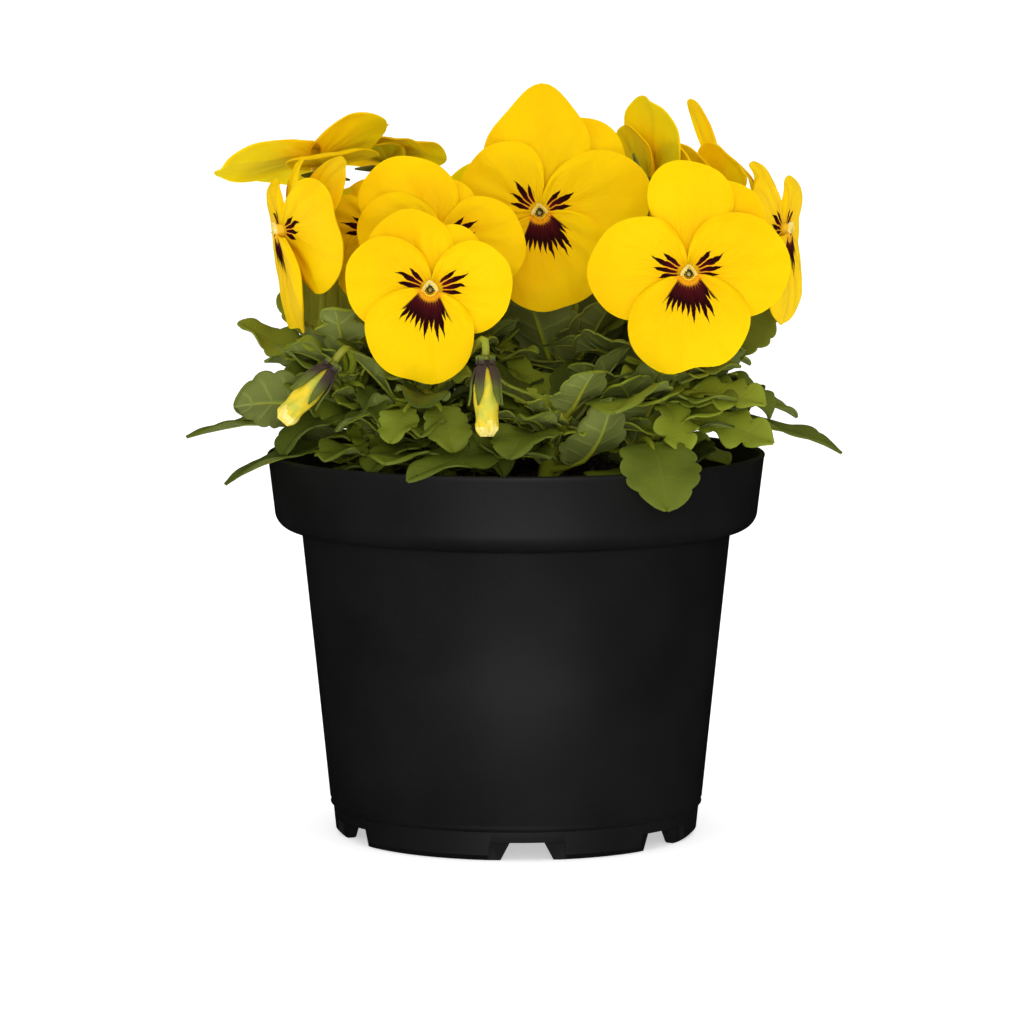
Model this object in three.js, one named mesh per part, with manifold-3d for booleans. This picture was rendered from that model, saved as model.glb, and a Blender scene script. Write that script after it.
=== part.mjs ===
// A potted pansy: yellow blooms on leafy stems, in a round plastic nursery pot.
// Millimetres, +Z up. The origin is on the pot's axis, on the surface that the pot stands on.
// A bearing is an angle seen from above: 0 points to the front (-Y), 90 to the right (+X).

import * as THREE from 'three';
import { mergeVertices } from 'three/addons/utils/BufferGeometryUtils.js';
import Module from 'manifold-3d';

const wasm = await Module();
wasm.setup();

// Driving dimensions
const RIM_DIAMETER = 105;
const POT_HEIGHT = 81;
const COLLAR_HEIGHT = 16;
const WALL = 1.1;
const FOOT_HEIGHT = 4;
const DRAIN_RADIUS = 3.2;
const SOIL_DEPTH_BELOW_RIM = 7;
const SOIL_MOUND = 2.6;
const SOIL_LUMP = 0.7;
const STEM_RADIUS = 1.5;
const STEM_ROOT_DEPTH = 12;
const STALK_RADIUS = 0.8;
const GAP = 0.3;
const BLADE = 0.7;
const PETAL = 0.75;

// Dimensions that follow from them
const rimRadius = RIM_DIAMETER / 2;
const collarRadius = rimRadius - 1.5;
const collarCorner = 4;
const collarBottom = POT_HEIGHT - COLLAR_HEIGHT;
const bodyTopRadius = rimRadius - 7.2;
const bodyFootRadius = rimRadius - 13;
const footRadius = rimRadius - 15;
const footRingWidth = 2.5;
const stepHeight = FOOT_HEIGHT * 2;
const floorTop = FOOT_HEIGHT + 1.4;
const soilTop = POT_HEIGHT - SOIL_DEPTH_BELOW_RIM;
const potSides = 32;

const up = new THREE.Vector3(0, 0, 1);
const radians = THREE.MathUtils.degToRad;

const colours = {
  pot: { color: 0x1c1c1d, roughness: 0.45, metalness: 0 },
  soil: { color: 0x33241a, roughness: 1, metalness: 0 },
  green: { color: 0x55702f, roughness: 0.6, metalness: 0 },
  petal: { color: 0xf7d000, roughness: 0.55, metalness: 0 },
};

// ---------------------------------------------------------------- solids and meshes

function solidFrom(geometry) {
  const bare = geometry.clone();
  bare.deleteAttribute('normal');
  bare.deleteAttribute('uv');
  const merged = mergeVertices(bare, 1e-4);
  return new wasm.Manifold(new wasm.Mesh({
    numProp: 3,
    vertProperties: Float32Array.from(merged.attributes.position.array),
    triVerts: Uint32Array.from(merged.index.array),
  }));
}

function join(solids) {
  return solids.reduce((whole, next) => whole.add(next));
}

// Drops the loose scraps that a cut or a join can leave, and keeps the largest body.
function largestBody(solid) {
  const bodies = solid.decompose();
  return bodies.reduce((best, body) => (body.volume() > best.volume() ? body : best));
}

function meshFrom(name, solid, colour) {
  const whole = solid.getMesh();
  const geometry = new THREE.BufferGeometry();
  geometry.setAttribute('position', new THREE.BufferAttribute(Float32Array.from(whole.vertProperties), 3));
  geometry.setIndex(new THREE.BufferAttribute(Uint32Array.from(whole.triVerts), 1));
  geometry.computeVertexNormals();
  const mesh = new THREE.Mesh(geometry, new THREE.MeshStandardMaterial(colour));
  mesh.name = name;
  return mesh;
}

// ---------------------------------------------------------------- directions

// The level direction of a bearing, and the level direction to its right-hand side.
function ahead(bearing) {
  return new THREE.Vector3(Math.sin(radians(bearing)), -Math.cos(radians(bearing)), 0);
}

function beside(bearing) {
  return new THREE.Vector3(Math.cos(radians(bearing)), Math.sin(radians(bearing)), 0);
}

function sum(...terms) {
  const total = new THREE.Vector3();
  for (const [vector, amount] of terms) {
    total.addScaledVector(vector, amount);
  }
  return total;
}

// ---------------------------------------------------------------- thin blades and tubes

// A closed blade of even thickness over a sheet of triangles, with both faces split alike.
function sheetSolid(points, triangles, thicknessOf) {
  const normals = points.map(() => new THREE.Vector3());
  const edges = new Set();
  for (const [a, b, c] of triangles) {
    const first = sum([points[b], 1], [points[a], -1]);
    const second = sum([points[c], 1], [points[a], -1]);
    const normal = first.cross(second).normalize();
    [a, b, c].forEach((corner) => normals[corner].add(normal));
    [[a, b], [b, c], [c, a]].forEach(([from, to]) => edges.add(`${from} ${to}`));
  }
  const position = [];
  for (const face of [1, -1]) {
    points.forEach((point, k) => {
      position.push(...sum([point, 1], [normals[k].normalize(), (face * thicknessOf(k)) / 2]).toArray());
    });
  }
  const other = points.length;
  const index = triangles.flatMap(([a, b, c]) => [a, b, c, other + a, other + c, other + b]);
  for (const edge of edges) {
    const [from, to] = edge.split(' ').map(Number);
    if (!edges.has(`${to} ${from}`)) {
      index.push(to, from, other + from, to, other + from, other + to);
    }
  }
  const geometry = new THREE.BufferGeometry();
  geometry.setAttribute('position', new THREE.Float32BufferAttribute(position, 3));
  geometry.setIndex(index);
  return solidFrom(geometry);
}

function tube(points, radius, sides, steps) {
  const section = new THREE.Shape();
  for (let k = 0; k < sides; k += 1) {
    const angle = (2 * Math.PI * k) / sides;
    const corner = [radius * Math.cos(angle), radius * Math.sin(angle)];
    if (k === 0) section.moveTo(...corner);
    else section.lineTo(...corner);
  }
  section.closePath();
  const path = new THREE.CatmullRomCurve3(points, false, 'centripetal');
  return solidFrom(new THREE.ExtrudeGeometry(section, { steps, extrudePath: path, bevelEnabled: false }));
}

// ---------------------------------------------------------------- pot and soil

function arc(centreRadius, centreHeight, radius, fromDegrees, toDegrees, steps) {
  const points = [];
  for (let k = 0; k <= steps; k += 1) {
    const angle = radians(fromDegrees + ((toDegrees - fromDegrees) * k) / steps);
    points.push([centreRadius + radius * Math.cos(angle), centreHeight + radius * Math.sin(angle)]);
  }
  return points;
}

function turned(profile, sides) {
  const points = profile.map(([radius, height]) => new THREE.Vector2(radius, height));
  return new THREE.LatheGeometry(points, sides).rotateX(Math.PI / 2);
}

// The pot's inner wall from its floor up to the wide collar, or a wall that far inside it.

function innerWall(inset) {
  const corner = [collarRadius - collarCorner, collarBottom + collarCorner];
  return [
    [bodyFootRadius - WALL - inset - 0.6, floorTop + inset],
    [bodyFootRadius - WALL - inset, stepHeight],
    [bodyTopRadius - WALL - inset, collarBottom],
    [bodyTopRadius - WALL - inset + 0.3, collarBottom + WALL + inset],
    ...arc(...corner, collarCorner - WALL - inset, -80, 0, 1),
  ];
}

function potSolid() {
  const outside = [
    [0, FOOT_HEIGHT],
    [footRadius - footRingWidth - 0.4, FOOT_HEIGHT],
    [footRadius - footRingWidth, 0],
    [footRadius, 0],
    [footRadius + 0.8, 0.9],
    [bodyFootRadius - 0.6, stepHeight * 0.78],
    [bodyFootRadius - 0.05, stepHeight * 0.83],
    [bodyFootRadius - 0.4, stepHeight * 0.9],
    [bodyFootRadius, stepHeight],
    [bodyTopRadius, collarBottom - 0.3],
    [bodyTopRadius + 0.4, collarBottom],
    ...arc(collarRadius - collarCorner, collarBottom + collarCorner, collarCorner, -90, 0, 3),
    [rimRadius, POT_HEIGHT - 0.6],
    [rimRadius - 0.4, POT_HEIGHT],
    [rimRadius - WALL, POT_HEIGHT],
  ];
  const inside = [...innerWall(0).reverse(), [0, floorTop]];
  let pot = solidFrom(turned([...outside, ...inside], potSides));
  for (const bearing of notchBearings()) {
    pot = pot.subtract(notchCut(bearing));
    pot = pot.subtract(drainCut(bearing));
  }
  return pot;
}

// Six notches in the foot ring: a threefold pattern of short and long feet.
function notchBearings() {
  const bearings = [];
  for (let third = 0; third < 3; third += 1) {
    bearings.push(3.5 + 120 * third, 54.5 + 120 * third);
  }
  return bearings;
}

// A shallow wide recess in the outside of the foot, and a gap with sloping ends right through it.
function notchCut(bearing) {
  const recess = radialPrism(notchOutline(8.3, 7.7), footRadius - 1.1, rimRadius, bearing);
  const gap = radialPrism(notchOutline(6, 3.4), footRadius - footRingWidth - 3, rimRadius, bearing);
  return recess.add(gap);
}

function notchOutline(halfWidthBelow, halfWidthAbove) {
  const height = FOOT_HEIGHT - 0.1;
  return [[-halfWidthBelow, -1], [halfWidthBelow, -1], [halfWidthAbove, height], [-halfWidthAbove, height]];
}

// Extrudes an upright outline outward between two distances from the pot's axis.
function radialPrism(outline, from, to, bearing) {
  const shape = new THREE.Shape(outline.map(([x, z]) => new THREE.Vector2(x, z)));
  const geometry = new THREE.ExtrudeGeometry(shape, { depth: to - from, bevelEnabled: false });
  geometry.translate(0, 0, from);
  geometry.rotateX(Math.PI / 2);
  geometry.rotateZ(radians(bearing));
  return solidFrom(geometry);
}

function drainCut(bearing) {
  const hole = new THREE.CylinderGeometry(DRAIN_RADIUS, DRAIN_RADIUS, FOOT_HEIGHT * 2, 12);
  hole.rotateX(Math.PI / 2);
  const place = ahead(bearing).multiplyScalar(footRadius * 0.72);
  hole.translate(place.x, place.y, FOOT_HEIGHT);
  return solidFrom(hole);
}

// Potting soil fills the pot to a low lumpy mound, with a plain hole for each stem.
function soilSolid() {
  const edge = collarRadius - WALL - GAP + 0.5;
  const profile = [
    [0, floorTop + GAP],
    ...innerWall(GAP),
    [edge, soilTop],
    [edge * 0.7, soilTop + SOIL_MOUND * 0.45],
    [edge * 0.35, soilTop + SOIL_MOUND * 0.85],
    [0, soilTop + SOIL_MOUND],
  ];
  const geometry = turned(profile, potSides);
  const position = geometry.attributes.position;
  for (let k = 0; k < position.count; k += 1) {
    const [x, y, z] = [position.getX(k), position.getY(k), position.getZ(k)];
    if (z > soilTop && Math.hypot(x, y) < edge - 1) {
      position.setZ(k, z + SOIL_LUMP * Math.sin(x * 0.7 + 1) * Math.cos(y * 0.6));
    }
  }
  let soil = solidFrom(geometry);
  for (const stem of stems) {
    soil = soil.subtract(stemHole(stem));
  }
  return soil;
}

function stemHole(stem) {
  const radius = STEM_RADIUS + GAP * 2;
  const depth = STEM_ROOT_DEPTH + GAP;
  const hole = new THREE.CylinderGeometry(radius, radius, depth * 2, 8).rotateX(Math.PI / 2);
  hole.translate(stem.base[0], stem.base[1], soilTop);
  return solidFrom(hole);
}

// ---------------------------------------------------------------- leaves

// A petiole's half width and thickness, a leaf tip's half width, and a peak's place on its tooth.
const PETIOLE_HALF_WIDTH = 0.75;
const PETIOLE_THICKNESS = 1.2;
const LEAF_TIP_HALF_WIDTH = 0.3;
const TOOTH_PEAK = 0.6;

// How wide a leaf is at a place along its blade (0 at its base, 1 at its tip), as a share of
// its greatest half width. The teeth are rounded and lean forward.
function leafWidth(leaf, place) {
  const outline = Math.sin(Math.PI * place ** leaf.shoulder) ** leaf.fullness;
  const phase = (place * leaf.teeth) % 1;
  const tooth = phase < TOOTH_PEAK
    ? Math.sin((phase / TOOTH_PEAK) * (Math.PI / 2))
    : Math.cos(((phase - TOOTH_PEAK) / (1 - TOOTH_PEAK)) * (Math.PI / 2));
  return Math.max(outline, 0) * (1 - leaf.toothDepth * (1 - tooth));
}

// A leaf is an arc that starts at its root on the stem, with the blade folded along its rib.
function leafPoint(leaf, distance, side) {
  const total = leaf.petiole + leaf.length;
  const rise = radians(leaf.rise);
  const curve = radians(leaf.droop || 0.01) / total;
  const slope = rise - curve * distance;
  const level = (Math.sin(rise) - Math.sin(slope)) / curve;
  const height = (Math.cos(slope) - Math.cos(rise)) / curve;
  const along = sum([ahead(leaf.bearing), Math.cos(slope)], [up, Math.sin(slope)]);
  const right = beside(leaf.bearing);
  const face = along.clone().cross(right);
  const twist = radians(leaf.twist);
  const across = sum([right, Math.cos(twist)], [face, Math.sin(twist)]);
  const above = sum([face, Math.cos(twist)], [right, -Math.sin(twist)]);
  const place = Math.min(Math.max((distance - leaf.petiole) / leaf.length, 0), 1);
  const half = Math.max((leaf.width / 2) * leafWidth(leaf, place), leafEnd(place));
  const lift = half * Math.tan(radians(leaf.fold));
  const wave = leaf.wave * Math.sin(place * 9 + side) * (half / leaf.width);
  return sum(
    [leaf.root, 1], [ahead(leaf.bearing), level], [up, height],
    [across, half * side],
    [above, (lift + wave) * Math.abs(side)],
  );
}

function leafEnd(place) {
  return place > 0.5 ? LEAF_TIP_HALF_WIDTH : PETIOLE_HALF_WIDTH;
}

// A leaf's sheet has a rib from its root to its tip. On each side of it the edge has a point
// at every notch and one at the peak of every tooth between them.
function leafSolid(leaf) {
  const notches = [0, leaf.petiole];
  const peaks = [];
  for (let tooth = 0; tooth < leaf.teeth; tooth += 1) {
    const notch = tooth + 1 < leaf.teeth ? 0.999 : 1;
    peaks.push(leaf.petiole + (leaf.length * (tooth + TOOTH_PEAK)) / leaf.teeth);
    notches.push(leaf.petiole + (leaf.length * (tooth + notch)) / leaf.teeth);
  }
  const points = [];
  for (const distance of notches) {
    points.push(...[-1, 0, 1].map((side) => leafPoint(leaf, distance, side)));
  }
  for (const distance of peaks) {
    points.push(...[-1, 1].map((side) => leafPoint(leaf, distance, side)));
  }
  const triangles = [[0, 3, 4], [0, 4, 1], [1, 4, 5], [1, 5, 2]];
  peaks.forEach((peak, tooth) => {
    const [left, rib, right] = [3, 4, 5].map((first) => first + 3 * tooth);
    const tip = notches.length * 3 + 2 * tooth;
    triangles.push([rib, left, tip], [rib, tip, left + 3], [rib, left + 3, rib + 3]);
    triangles.push([rib, rib + 3, right + 3], [rib, right + 3, tip + 1], [rib, tip + 1, right]);
  });
  return sheetSolid(points, triangles, (k) => (k < 6 ? PETIOLE_THICKNESS : BLADE));
}

// The lower leaves are round and blunt, the others oval, or long and narrow.
const leafForms = {
  round: { teeth: 4, toothDepth: 0.2, shoulder: 0.85, fullness: 0.55, fold: 10, wave: 2 },
  oval: { teeth: 3, toothDepth: 0.26, shoulder: 0.75, fullness: 0.7, fold: 14, wave: 3 },
  lance: { teeth: 3, toothDepth: 0.22, shoulder: 0.8, fullness: 0.8, fold: 16, wave: 2 },
};

// ---------------------------------------------------------------- blooms

// The five petals of a bloom: the way each points in the bloom's plane (0 right, 90 up), its
// length as a share of the bloom's reach, half the angle of its fan, how blunt it is, how far it
// stands in front of the throat, and how far its tip curls forward.
const petalForms = {
  upperLeft: { points: 104, reach: 1.08, fan: 78, blunt: 0.72, layer: -1.9, curl: -1.2 },
  upperRight: { points: 68, reach: 1.04, fan: 78, blunt: 0.72, layer: -3.1, curl: -1.2 },
  sideLeft: { points: 172, reach: 0.96, fan: 84, blunt: 0.8, layer: -0.7, curl: -0.2 },
  sideRight: { points: 8, reach: 0.98, fan: 84, blunt: 0.8, layer: -0.7, curl: -0.2 },
  lower: { points: -88, reach: 1, fan: 84, blunt: 0.52, layer: 0.5, curl: 0.6, notch: 0.06 },
};

const PETAL_START = 0.8;
const THROAT_RADIUS = 1.6;
const THROAT_BACK = 4.2;
const THROAT_FRONT = 0.6;
const CALYX_BACK = 5.4;

function bloomFrame(bloom) {
  const tilt = radians(bloom.tilt);
  const roll = radians(bloom.roll);
  const facing = sum([ahead(bloom.bearing), Math.cos(tilt)], [up, Math.sin(tilt)]);
  const side = beside(bloom.bearing);
  const top = facing.clone().cross(side);
  return {
    facing,
    right: sum([side, Math.cos(roll)], [top, Math.sin(roll)]),
    top: sum([top, Math.cos(roll)], [side, -Math.sin(roll)]),
  };
}

// A petal is a fan about the throat: share runs from its claw (0) to its edge (1), angle across it.
function petalPoint(bloom, petal, share, angle) {
  const { facing, right, top } = bloomFrame(bloom);
  const points = radians(petal.points);
  const axis = sum([right, Math.cos(points)], [top, Math.sin(points)]);
  const across = facing.clone().cross(axis);
  const lean = radians(petal.lean || 0);
  const forward = sum([axis, Math.cos(lean)], [facing, Math.sin(lean)]);
  const front = sum([facing, Math.cos(lean)], [axis, -Math.sin(lean)]);
  const length = bloom.reach * petal.reach;
  const edge = length * Math.cos((angle / radians(petal.fan)) * (Math.PI / 2)) ** petal.blunt;
  const notch = 1 - (petal.notch || 0) * Math.exp(-((angle / 0.2) ** 2));
  const out = PETAL_START + share * (edge * notch - PETAL_START);
  const rise = petal.curl * (out / length) ** 2 + 0.2 * share ** 2 * Math.sin(angle * 4 + petal.points);
  return sum(
    [bloom.throat, 1], [facing, petal.layer],
    [forward, out * Math.cos(angle)], [across, out * Math.sin(angle)], [front, rise],
  );
}

// A petal's sheet is a narrow claw that starts in the throat, and a fan from the claw to the edge.
function petalSolid(bloom, petal) {
  const columns = 7;
  const fan = radians(petal.fan) * 0.97;
  const clawShare = 0.1;
  const claw = [[0, 0.6], [0, -0.6], [clawShare, 0.6], [clawShare, -0.6]];
  const points = claw.map(([share, across]) => petalPoint(bloom, petal, share, across * fan));
  for (let j = 0; j <= columns; j += 1) {
    points.push(petalPoint(bloom, petal, 1, fan * (1 - (2 * j) / columns)));
  }
  const triangles = [[0, 2, 3], [0, 3, 1]];
  const middle = Math.floor(columns / 2);
  for (let j = 0; j < columns; j += 1) {
    triangles.push([j < middle ? 2 : 3, 4 + j, 5 + j]);
  }
  triangles.push([2, 4 + middle, 3]);
  return sheetSolid(points, triangles, () => PETAL);
}

// The short tube at the throat that all five petals grow from, with the spur behind it.
function throatSolid(bloom) {
  const { facing } = bloomFrame(bloom);
  const from = sum([bloom.throat, 1], [facing, -THROAT_BACK]);
  const to = sum([bloom.throat, 1], [facing, THROAT_FRONT]);
  return tube([from, to], THROAT_RADIUS, 5, 1);
}

function bloomSolid(bloom) {
  const petals = Object.entries(petalForms).map(([name, form]) => ({ ...form, ...bloom.petals[name] }));
  return largestBody(join([throatSolid(bloom), ...petals.map((petal) => petalSolid(bloom, petal))]));
}

// The green end of a flower stalk: it rises behind the bloom and hooks forward into the calyx.
function stalkSolids(bloom, foot) {
  const { facing, top } = bloomFrame(bloom);
  const seat = sum([bloom.throat, 1], [facing, -THROAT_BACK - GAP - 0.1]);
  const back = sum([bloom.throat, 1], [facing, -9], [top, 1]);
  const bend = sum([bloom.throat, 1], [facing, -11], [up, -5]);
  const middle = sum([bend, 0.55], [foot, 0.45], [ahead(bloom.bearing), -2]);
  return [tube([foot, middle, bend, back, seat], STALK_RADIUS, 4, 8), calyxSolid(bloom)];
}

// A stalk that climbs past the bud and hooks over, so that the bud hangs from its end.
function budStalk(bud, foot) {
  const seat = new THREE.Vector3(...bud.seat);
  const over = sum([seat, 1], [budAxis(bud), -3], [up, 1.5], [ahead(bud.bearing), -1]);
  const middle = sum([over, 0.6], [foot, 0.4], [ahead(bud.bearing), -1.5]);
  return tube([foot, middle, over, seat], STALK_RADIUS, 4, 6);
}

function budAxis(bud) {
  const dip = radians(bud.dip);
  return sum([ahead(bud.bearing), Math.cos(dip)], [up, -Math.sin(dip)]);
}

// How thick a bud's rolled petals are along it (0 at its stalk, 1 at its tip), in mm.
const budProfile = [[0.04, 0], [0.06, 1.2], [0.3, 2.5], [0.6, 2.3], [0.82, 1.5], [0.97, 1.9], [1, 0]];

function budSolid(bud) {
  const profile = budProfile.map(([share, radius]) => [radius, share * bud.length]);
  const geometry = turned(profile, 7);
  geometry.applyQuaternion(new THREE.Quaternion().setFromUnitVectors(up, budAxis(bud)));
  geometry.translate(...bud.seat);
  return solidFrom(geometry);
}

// A bud's sepal along the bud: [share of its length, distance from its axis, half width].
const sepalPath = [[-0.05, 0.3, 0.6], [0.06, 1.9, 1.1], [0.3, 3.3, 1.2], [0.68, 3.5, 0.3]];

// Five narrow sepals grow from the end of the stalk and lie close along the bud.
function budSepal(bud, angle) {
  const axis = budAxis(bud);
  const side = beside(bud.bearing);
  const out = sum([side, Math.cos(radians(angle))], [side.clone().cross(axis), Math.sin(radians(angle))]);
  const across = axis.clone().cross(out);
  const seat = new THREE.Vector3(...bud.seat);
  const points = [];
  for (const [share, distance, half] of sepalPath) {
    for (const edge of [-1, 1]) {
      points.push(sum([seat, 1], [axis, share * bud.length], [out, distance], [across, edge * half]));
    }
  }
  const triangles = [0, 2, 4].flatMap((k) => [[k, k + 2, k + 3], [k, k + 3, k + 1]]);
  return sheetSolid(points, triangles, () => BLADE);
}

// The calyx is a star of five pointed sepals that spreads behind the petals.
function calyxSolid(bloom) {
  const { facing, right, top } = bloomFrame(bloom);
  const centre = sum([bloom.throat, 1], [facing, -CALYX_BACK]);
  const tip = { reach: 7.2, back: 1.1 };
  const cleft = { reach: 1.7, back: 0.3 };
  const points = [centre];
  for (let k = 0; k < 10; k += 1) {
    const angle = radians(90 + 36 * k);
    const { reach, back } = k % 2 ? cleft : tip;
    const [along, above] = [reach * Math.cos(angle), reach * Math.sin(angle)];
    points.push(sum([centre, 1], [right, along], [top, above], [facing, -back]));
  }
  const triangles = points.slice(1).map((point, k) => [0, 1 + k, 1 + ((k + 1) % 10)]);
  return sheetSolid(points, triangles, () => BLADE);
}

// ---------------------------------------------------------------- the plant

// Each stem grows from its base in the soil to its top. Its leaves are listed as
// [form, place on the stem above the soil, bearing, rise, droop, petiole, length, width, twist].
const stems = [
  {
    name: 'leafy_stem_front',
    base: [6, -27],
    top: [10, -37, 92],
    leaves: [
      ['round', 0.3, 42, -2, -84, 8, 19, 16],
      ['oval', 0.6, -22, 45, 45, 4, 14, 10],
      ['oval', 0.7, -80, 45, 60, 4, 12, 9],
    ],
    blooms: [],
  },
  {
    name: 'leafy_stem_front_left',
    base: [-14, -21],
    top: [-20, -29, 99],
    leaves: [
      ['oval', 0.28, 38, 12, 14, 12, 23, 13],
      ['round', 0.3, -26, 14, 24, 9, 18, 16],
      ['oval', 0.55, -8, 25, 50, 7, 14, 10],
    ],
    buds: [
      { name: 'bud_front', seat: [-6.2, -45, 103.5], bearing: 10, dip: 84, length: 15, at: 0.8 },
    ],
    blooms: [
      {
        name: 'bloom_front_left', throat: [-17.3, -41, 118],
        bearing: -12, tilt: 2, roll: 0, reach: 19, at: 0.75,
        petals: {
          upperLeft: { reach: 0.78, points: 106 },
          upperRight: { reach: 0.78, points: 62 },
          sideLeft: { points: 174, reach: 0.98 },
          sideRight: { points: 6, reach: 0.86 },
          lower: { points: -102, reach: 1.02 },
        },
      },
    ],
  },
  {
    name: 'leafy_stem_left_front',
    base: [-27, -14],
    top: [-36, -20, 100],
    leaves: [
      ['lance', 0.3, -66, 14, 46, 9, 27, 10],
      ['oval', 0.3, -24, 14, 26, 12, 15, 11],
      ['round', 0.55, -72, 38, 20, 5, 16, 16, -45],
    ],
    buds: [
      { name: 'bud_left', seat: [-38, -32, 101.5], bearing: -82, dip: 48, length: 15, at: 0.9 },
    ],
    blooms: [
      {
        name: 'bloom_left_front', throat: [-29, -6.2, 128],
        bearing: -16, tilt: 8, roll: 4, reach: 18, at: 0.8,
        petals: {
          upperLeft: { points: 98, reach: 0.9 },
          upperRight: { points: 60, reach: 0.9, fan: 66 },
          sideLeft: { points: 166, reach: 0.8 },
          sideRight: { reach: 0.6 },
          lower: { reach: 0.9 },
        },
      },
    ],
  },
  {
    name: 'leafy_stem_left',
    base: [-30, 4],
    top: [-44, 2, 101],
    leaves: [
      ['lance', 0.55, -72, -2, 12, 8.6, 26.6, 10],
      ['lance', 0.3, -84, 20, 30, 9, 24, 10],
      ['oval', 0.9, -98, 34, 10, 3, 16, 12, -20],
      ['oval', 0.75, -140, 20, 50, 5, 16, 12],
    ],
    blooms: [
      {
        name: 'bloom_left', throat: [-49.5, -11, 128],
        bearing: -78, tilt: -4, roll: 0, reach: 19, at: 0.85,
        petals: {
          upperLeft: { points: 112, reach: 0.8 },
          upperRight: { points: 70, reach: 0.8, lean: -6 },
          sideRight: { points: -6, reach: 1.02, lean: -12 },
          lower: { points: -90, reach: 1.2, lean: -3, fan: 70 },
        },
      },
      {
        name: 'bloom_left_top', throat: [-43, 17, 143],
        bearing: -152, tilt: 68, roll: 16, reach: 19, at: 0.9,
        petals: {
          upperLeft: { lean: -6 },
          upperRight: { lean: -8 },
          sideRight: { points: -14, reach: 1.22 },
        },
      },
    ],
  },
  {
    name: 'leafy_stem_left_back',
    base: [-22, 22],
    top: [-33, 33, 101],
    leaves: [
      ['round', 0.3, -128, 20, 60, 12, 20, 16],
      ['oval', 0.55, -168, 15, 45, 8, 18, 13],
      ['oval', 0.85, -110, 20, 50, 5, 16, 12],
    ],
    blooms: [
      {
        name: 'bloom_left_back', throat: [-37, 45.5, 118],
        bearing: -142, tilt: 8, roll: 0, reach: 18, at: 0.75,
        petals: {},
      },
      {
        name: 'bloom_back_left_top', throat: [-27.5, 37.5, 143],
        bearing: 172, tilt: 60, roll: 5, reach: 13, at: 0.9,
        petals: {},
      },
    ],
  },
  {
    name: 'leafy_stem_back',
    base: [0, 29],
    top: [-2, 42, 99],
    leaves: [
      ['round', 0.3, 168, 40, 80, 7.5, 18.5, 17],
      ['oval', 0.45, -160, 20, 55, 7, 17, 13],
      ['oval', 0.8, 150, 25, 60, 5, 15, 11],
    ],
    buds: [
      { name: 'bud_back', seat: [16, 44, 112], bearing: 150, dip: 50, length: 14, at: 0.95 },
    ],
    blooms: [
      {
        name: 'bloom_back', throat: [-4, 50, 120],
        bearing: 178, tilt: 6, roll: 5, reach: 20, at: 0.8,
        petals: {},
      },
    ],
  },
  {
    name: 'leafy_stem_right_back',
    base: [22, 22],
    top: [33, 33, 102],
    leaves: [
      ['round', 0.3, 124, 20, 60, 12, 20, 16],
      ['oval', 0.55, 166, 15, 45, 8, 18, 13],
      ['oval', 0.85, 100, 20, 50, 5, 16, 12],
    ],
    blooms: [
      {
        name: 'bloom_right_back', throat: [38, 44, 117],
        bearing: 140, tilt: 8, roll: 0, reach: 19, at: 0.75,
        petals: {},
      },
      {
        name: 'bloom_right_top', throat: [43, 22, 135],
        bearing: 128, tilt: 30, roll: 5, reach: 15, at: 0.9,
        petals: { upperRight: { points: 70, reach: 1.35, fan: 26, layer: 1.6, lean: 24 } },
      },
    ],
  },
  {
    name: 'leafy_stem_right',
    base: [31, 3],
    top: [44, 0, 102],
    leaves: [
      ['lance', 0.4, 70, 14, 42, 9.6, 27.4, 11],
      ['oval', 0.6, 104, 15, 50, 6, 18, 12],
      ['round', 0.85, 82, 52, 8, 4, 16, 15, 50],
      ['oval', 0.8, 60, 10, 80, 4, 14, 10],
    ],
    blooms: [
      {
        name: 'bloom_right', throat: [56.5, -8, 128],
        bearing: 74, tilt: -2, roll: 0, reach: 19, at: 0.85,
        petals: {
          upperLeft: { reach: 0.74, lean: -10, points: 104 },
          upperRight: { reach: 0.7, lean: -12 },
          sideLeft: { lean: -6 },
        },
      },
    ],
  },
  {
    name: 'leafy_stem_front_right',
    base: [23, -19],
    top: [32, -28, 100],
    leaves: [
      ['round', 0.32, 10, 32, 94, 18.6, 20, 17],
      ['oval', 0.6, 52, 28, 30, 6, 17, 12],
      ['oval', 0.8, 82, 40, 40, 4, 14, 10],
    ],
    blooms: [
      {
        name: 'bloom_front_right', throat: [35, -38, 121],
        bearing: 2, tilt: 4, roll: 0, reach: 21, at: 0.75,
        petals: { upperLeft: { points: 90, reach: 1.16, fan: 70 }, upperRight: { points: 56, fan: 70 } },
      },
    ],
  },
  {
    name: 'leafy_stem_centre_left',
    base: [-8, -3],
    top: [-11, -7, 106],
    leaves: [
      ['oval', 0.35, 5, 30, 40, 10, 17, 12],
      ['oval', 0.75, 48, 25, 20, 5, 15, 10],
      ['oval', 0.8, -150, 30, 50, 6, 15, 11],
    ],
    blooms: [
      {
        name: 'bloom_centre_left', throat: [-15.5, -25, 127.5],
        bearing: -4, tilt: 6, roll: 4, reach: 18, at: 0.85,
        petals: { upperLeft: { reach: 0.85 }, upperRight: { reach: 0.85 }, lower: { reach: 0.7 } },
      },
    ],
  },
  {
    name: 'leafy_stem_centre',
    base: [9, 5],
    top: [10, 7, 108],
    leaves: [
      ['round', 0.55, 38, 55, 10, 7, 20, 17],
      ['oval', 0.35, 10, 50, 40, 8, 18, 13],
      ['oval', 0.8, 150, 40, 50, 5, 16, 12],
    ],
    blooms: [
      {
        name: 'bloom_centre', throat: [4.8, -12, 132],
        bearing: 4, tilt: 6, roll: 6, reach: 21, at: 0.85,
        petals: {
          upperLeft: { points: 82, reach: 1.24, blunt: 1.3 },
          upperRight: { points: 42, reach: 1.1, fan: 70 },
          sideLeft: { points: 148, reach: 0.85 },
          sideRight: { points: 6, reach: 1.12 },
          lower: { points: -82 },
        },
      },
      {
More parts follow.
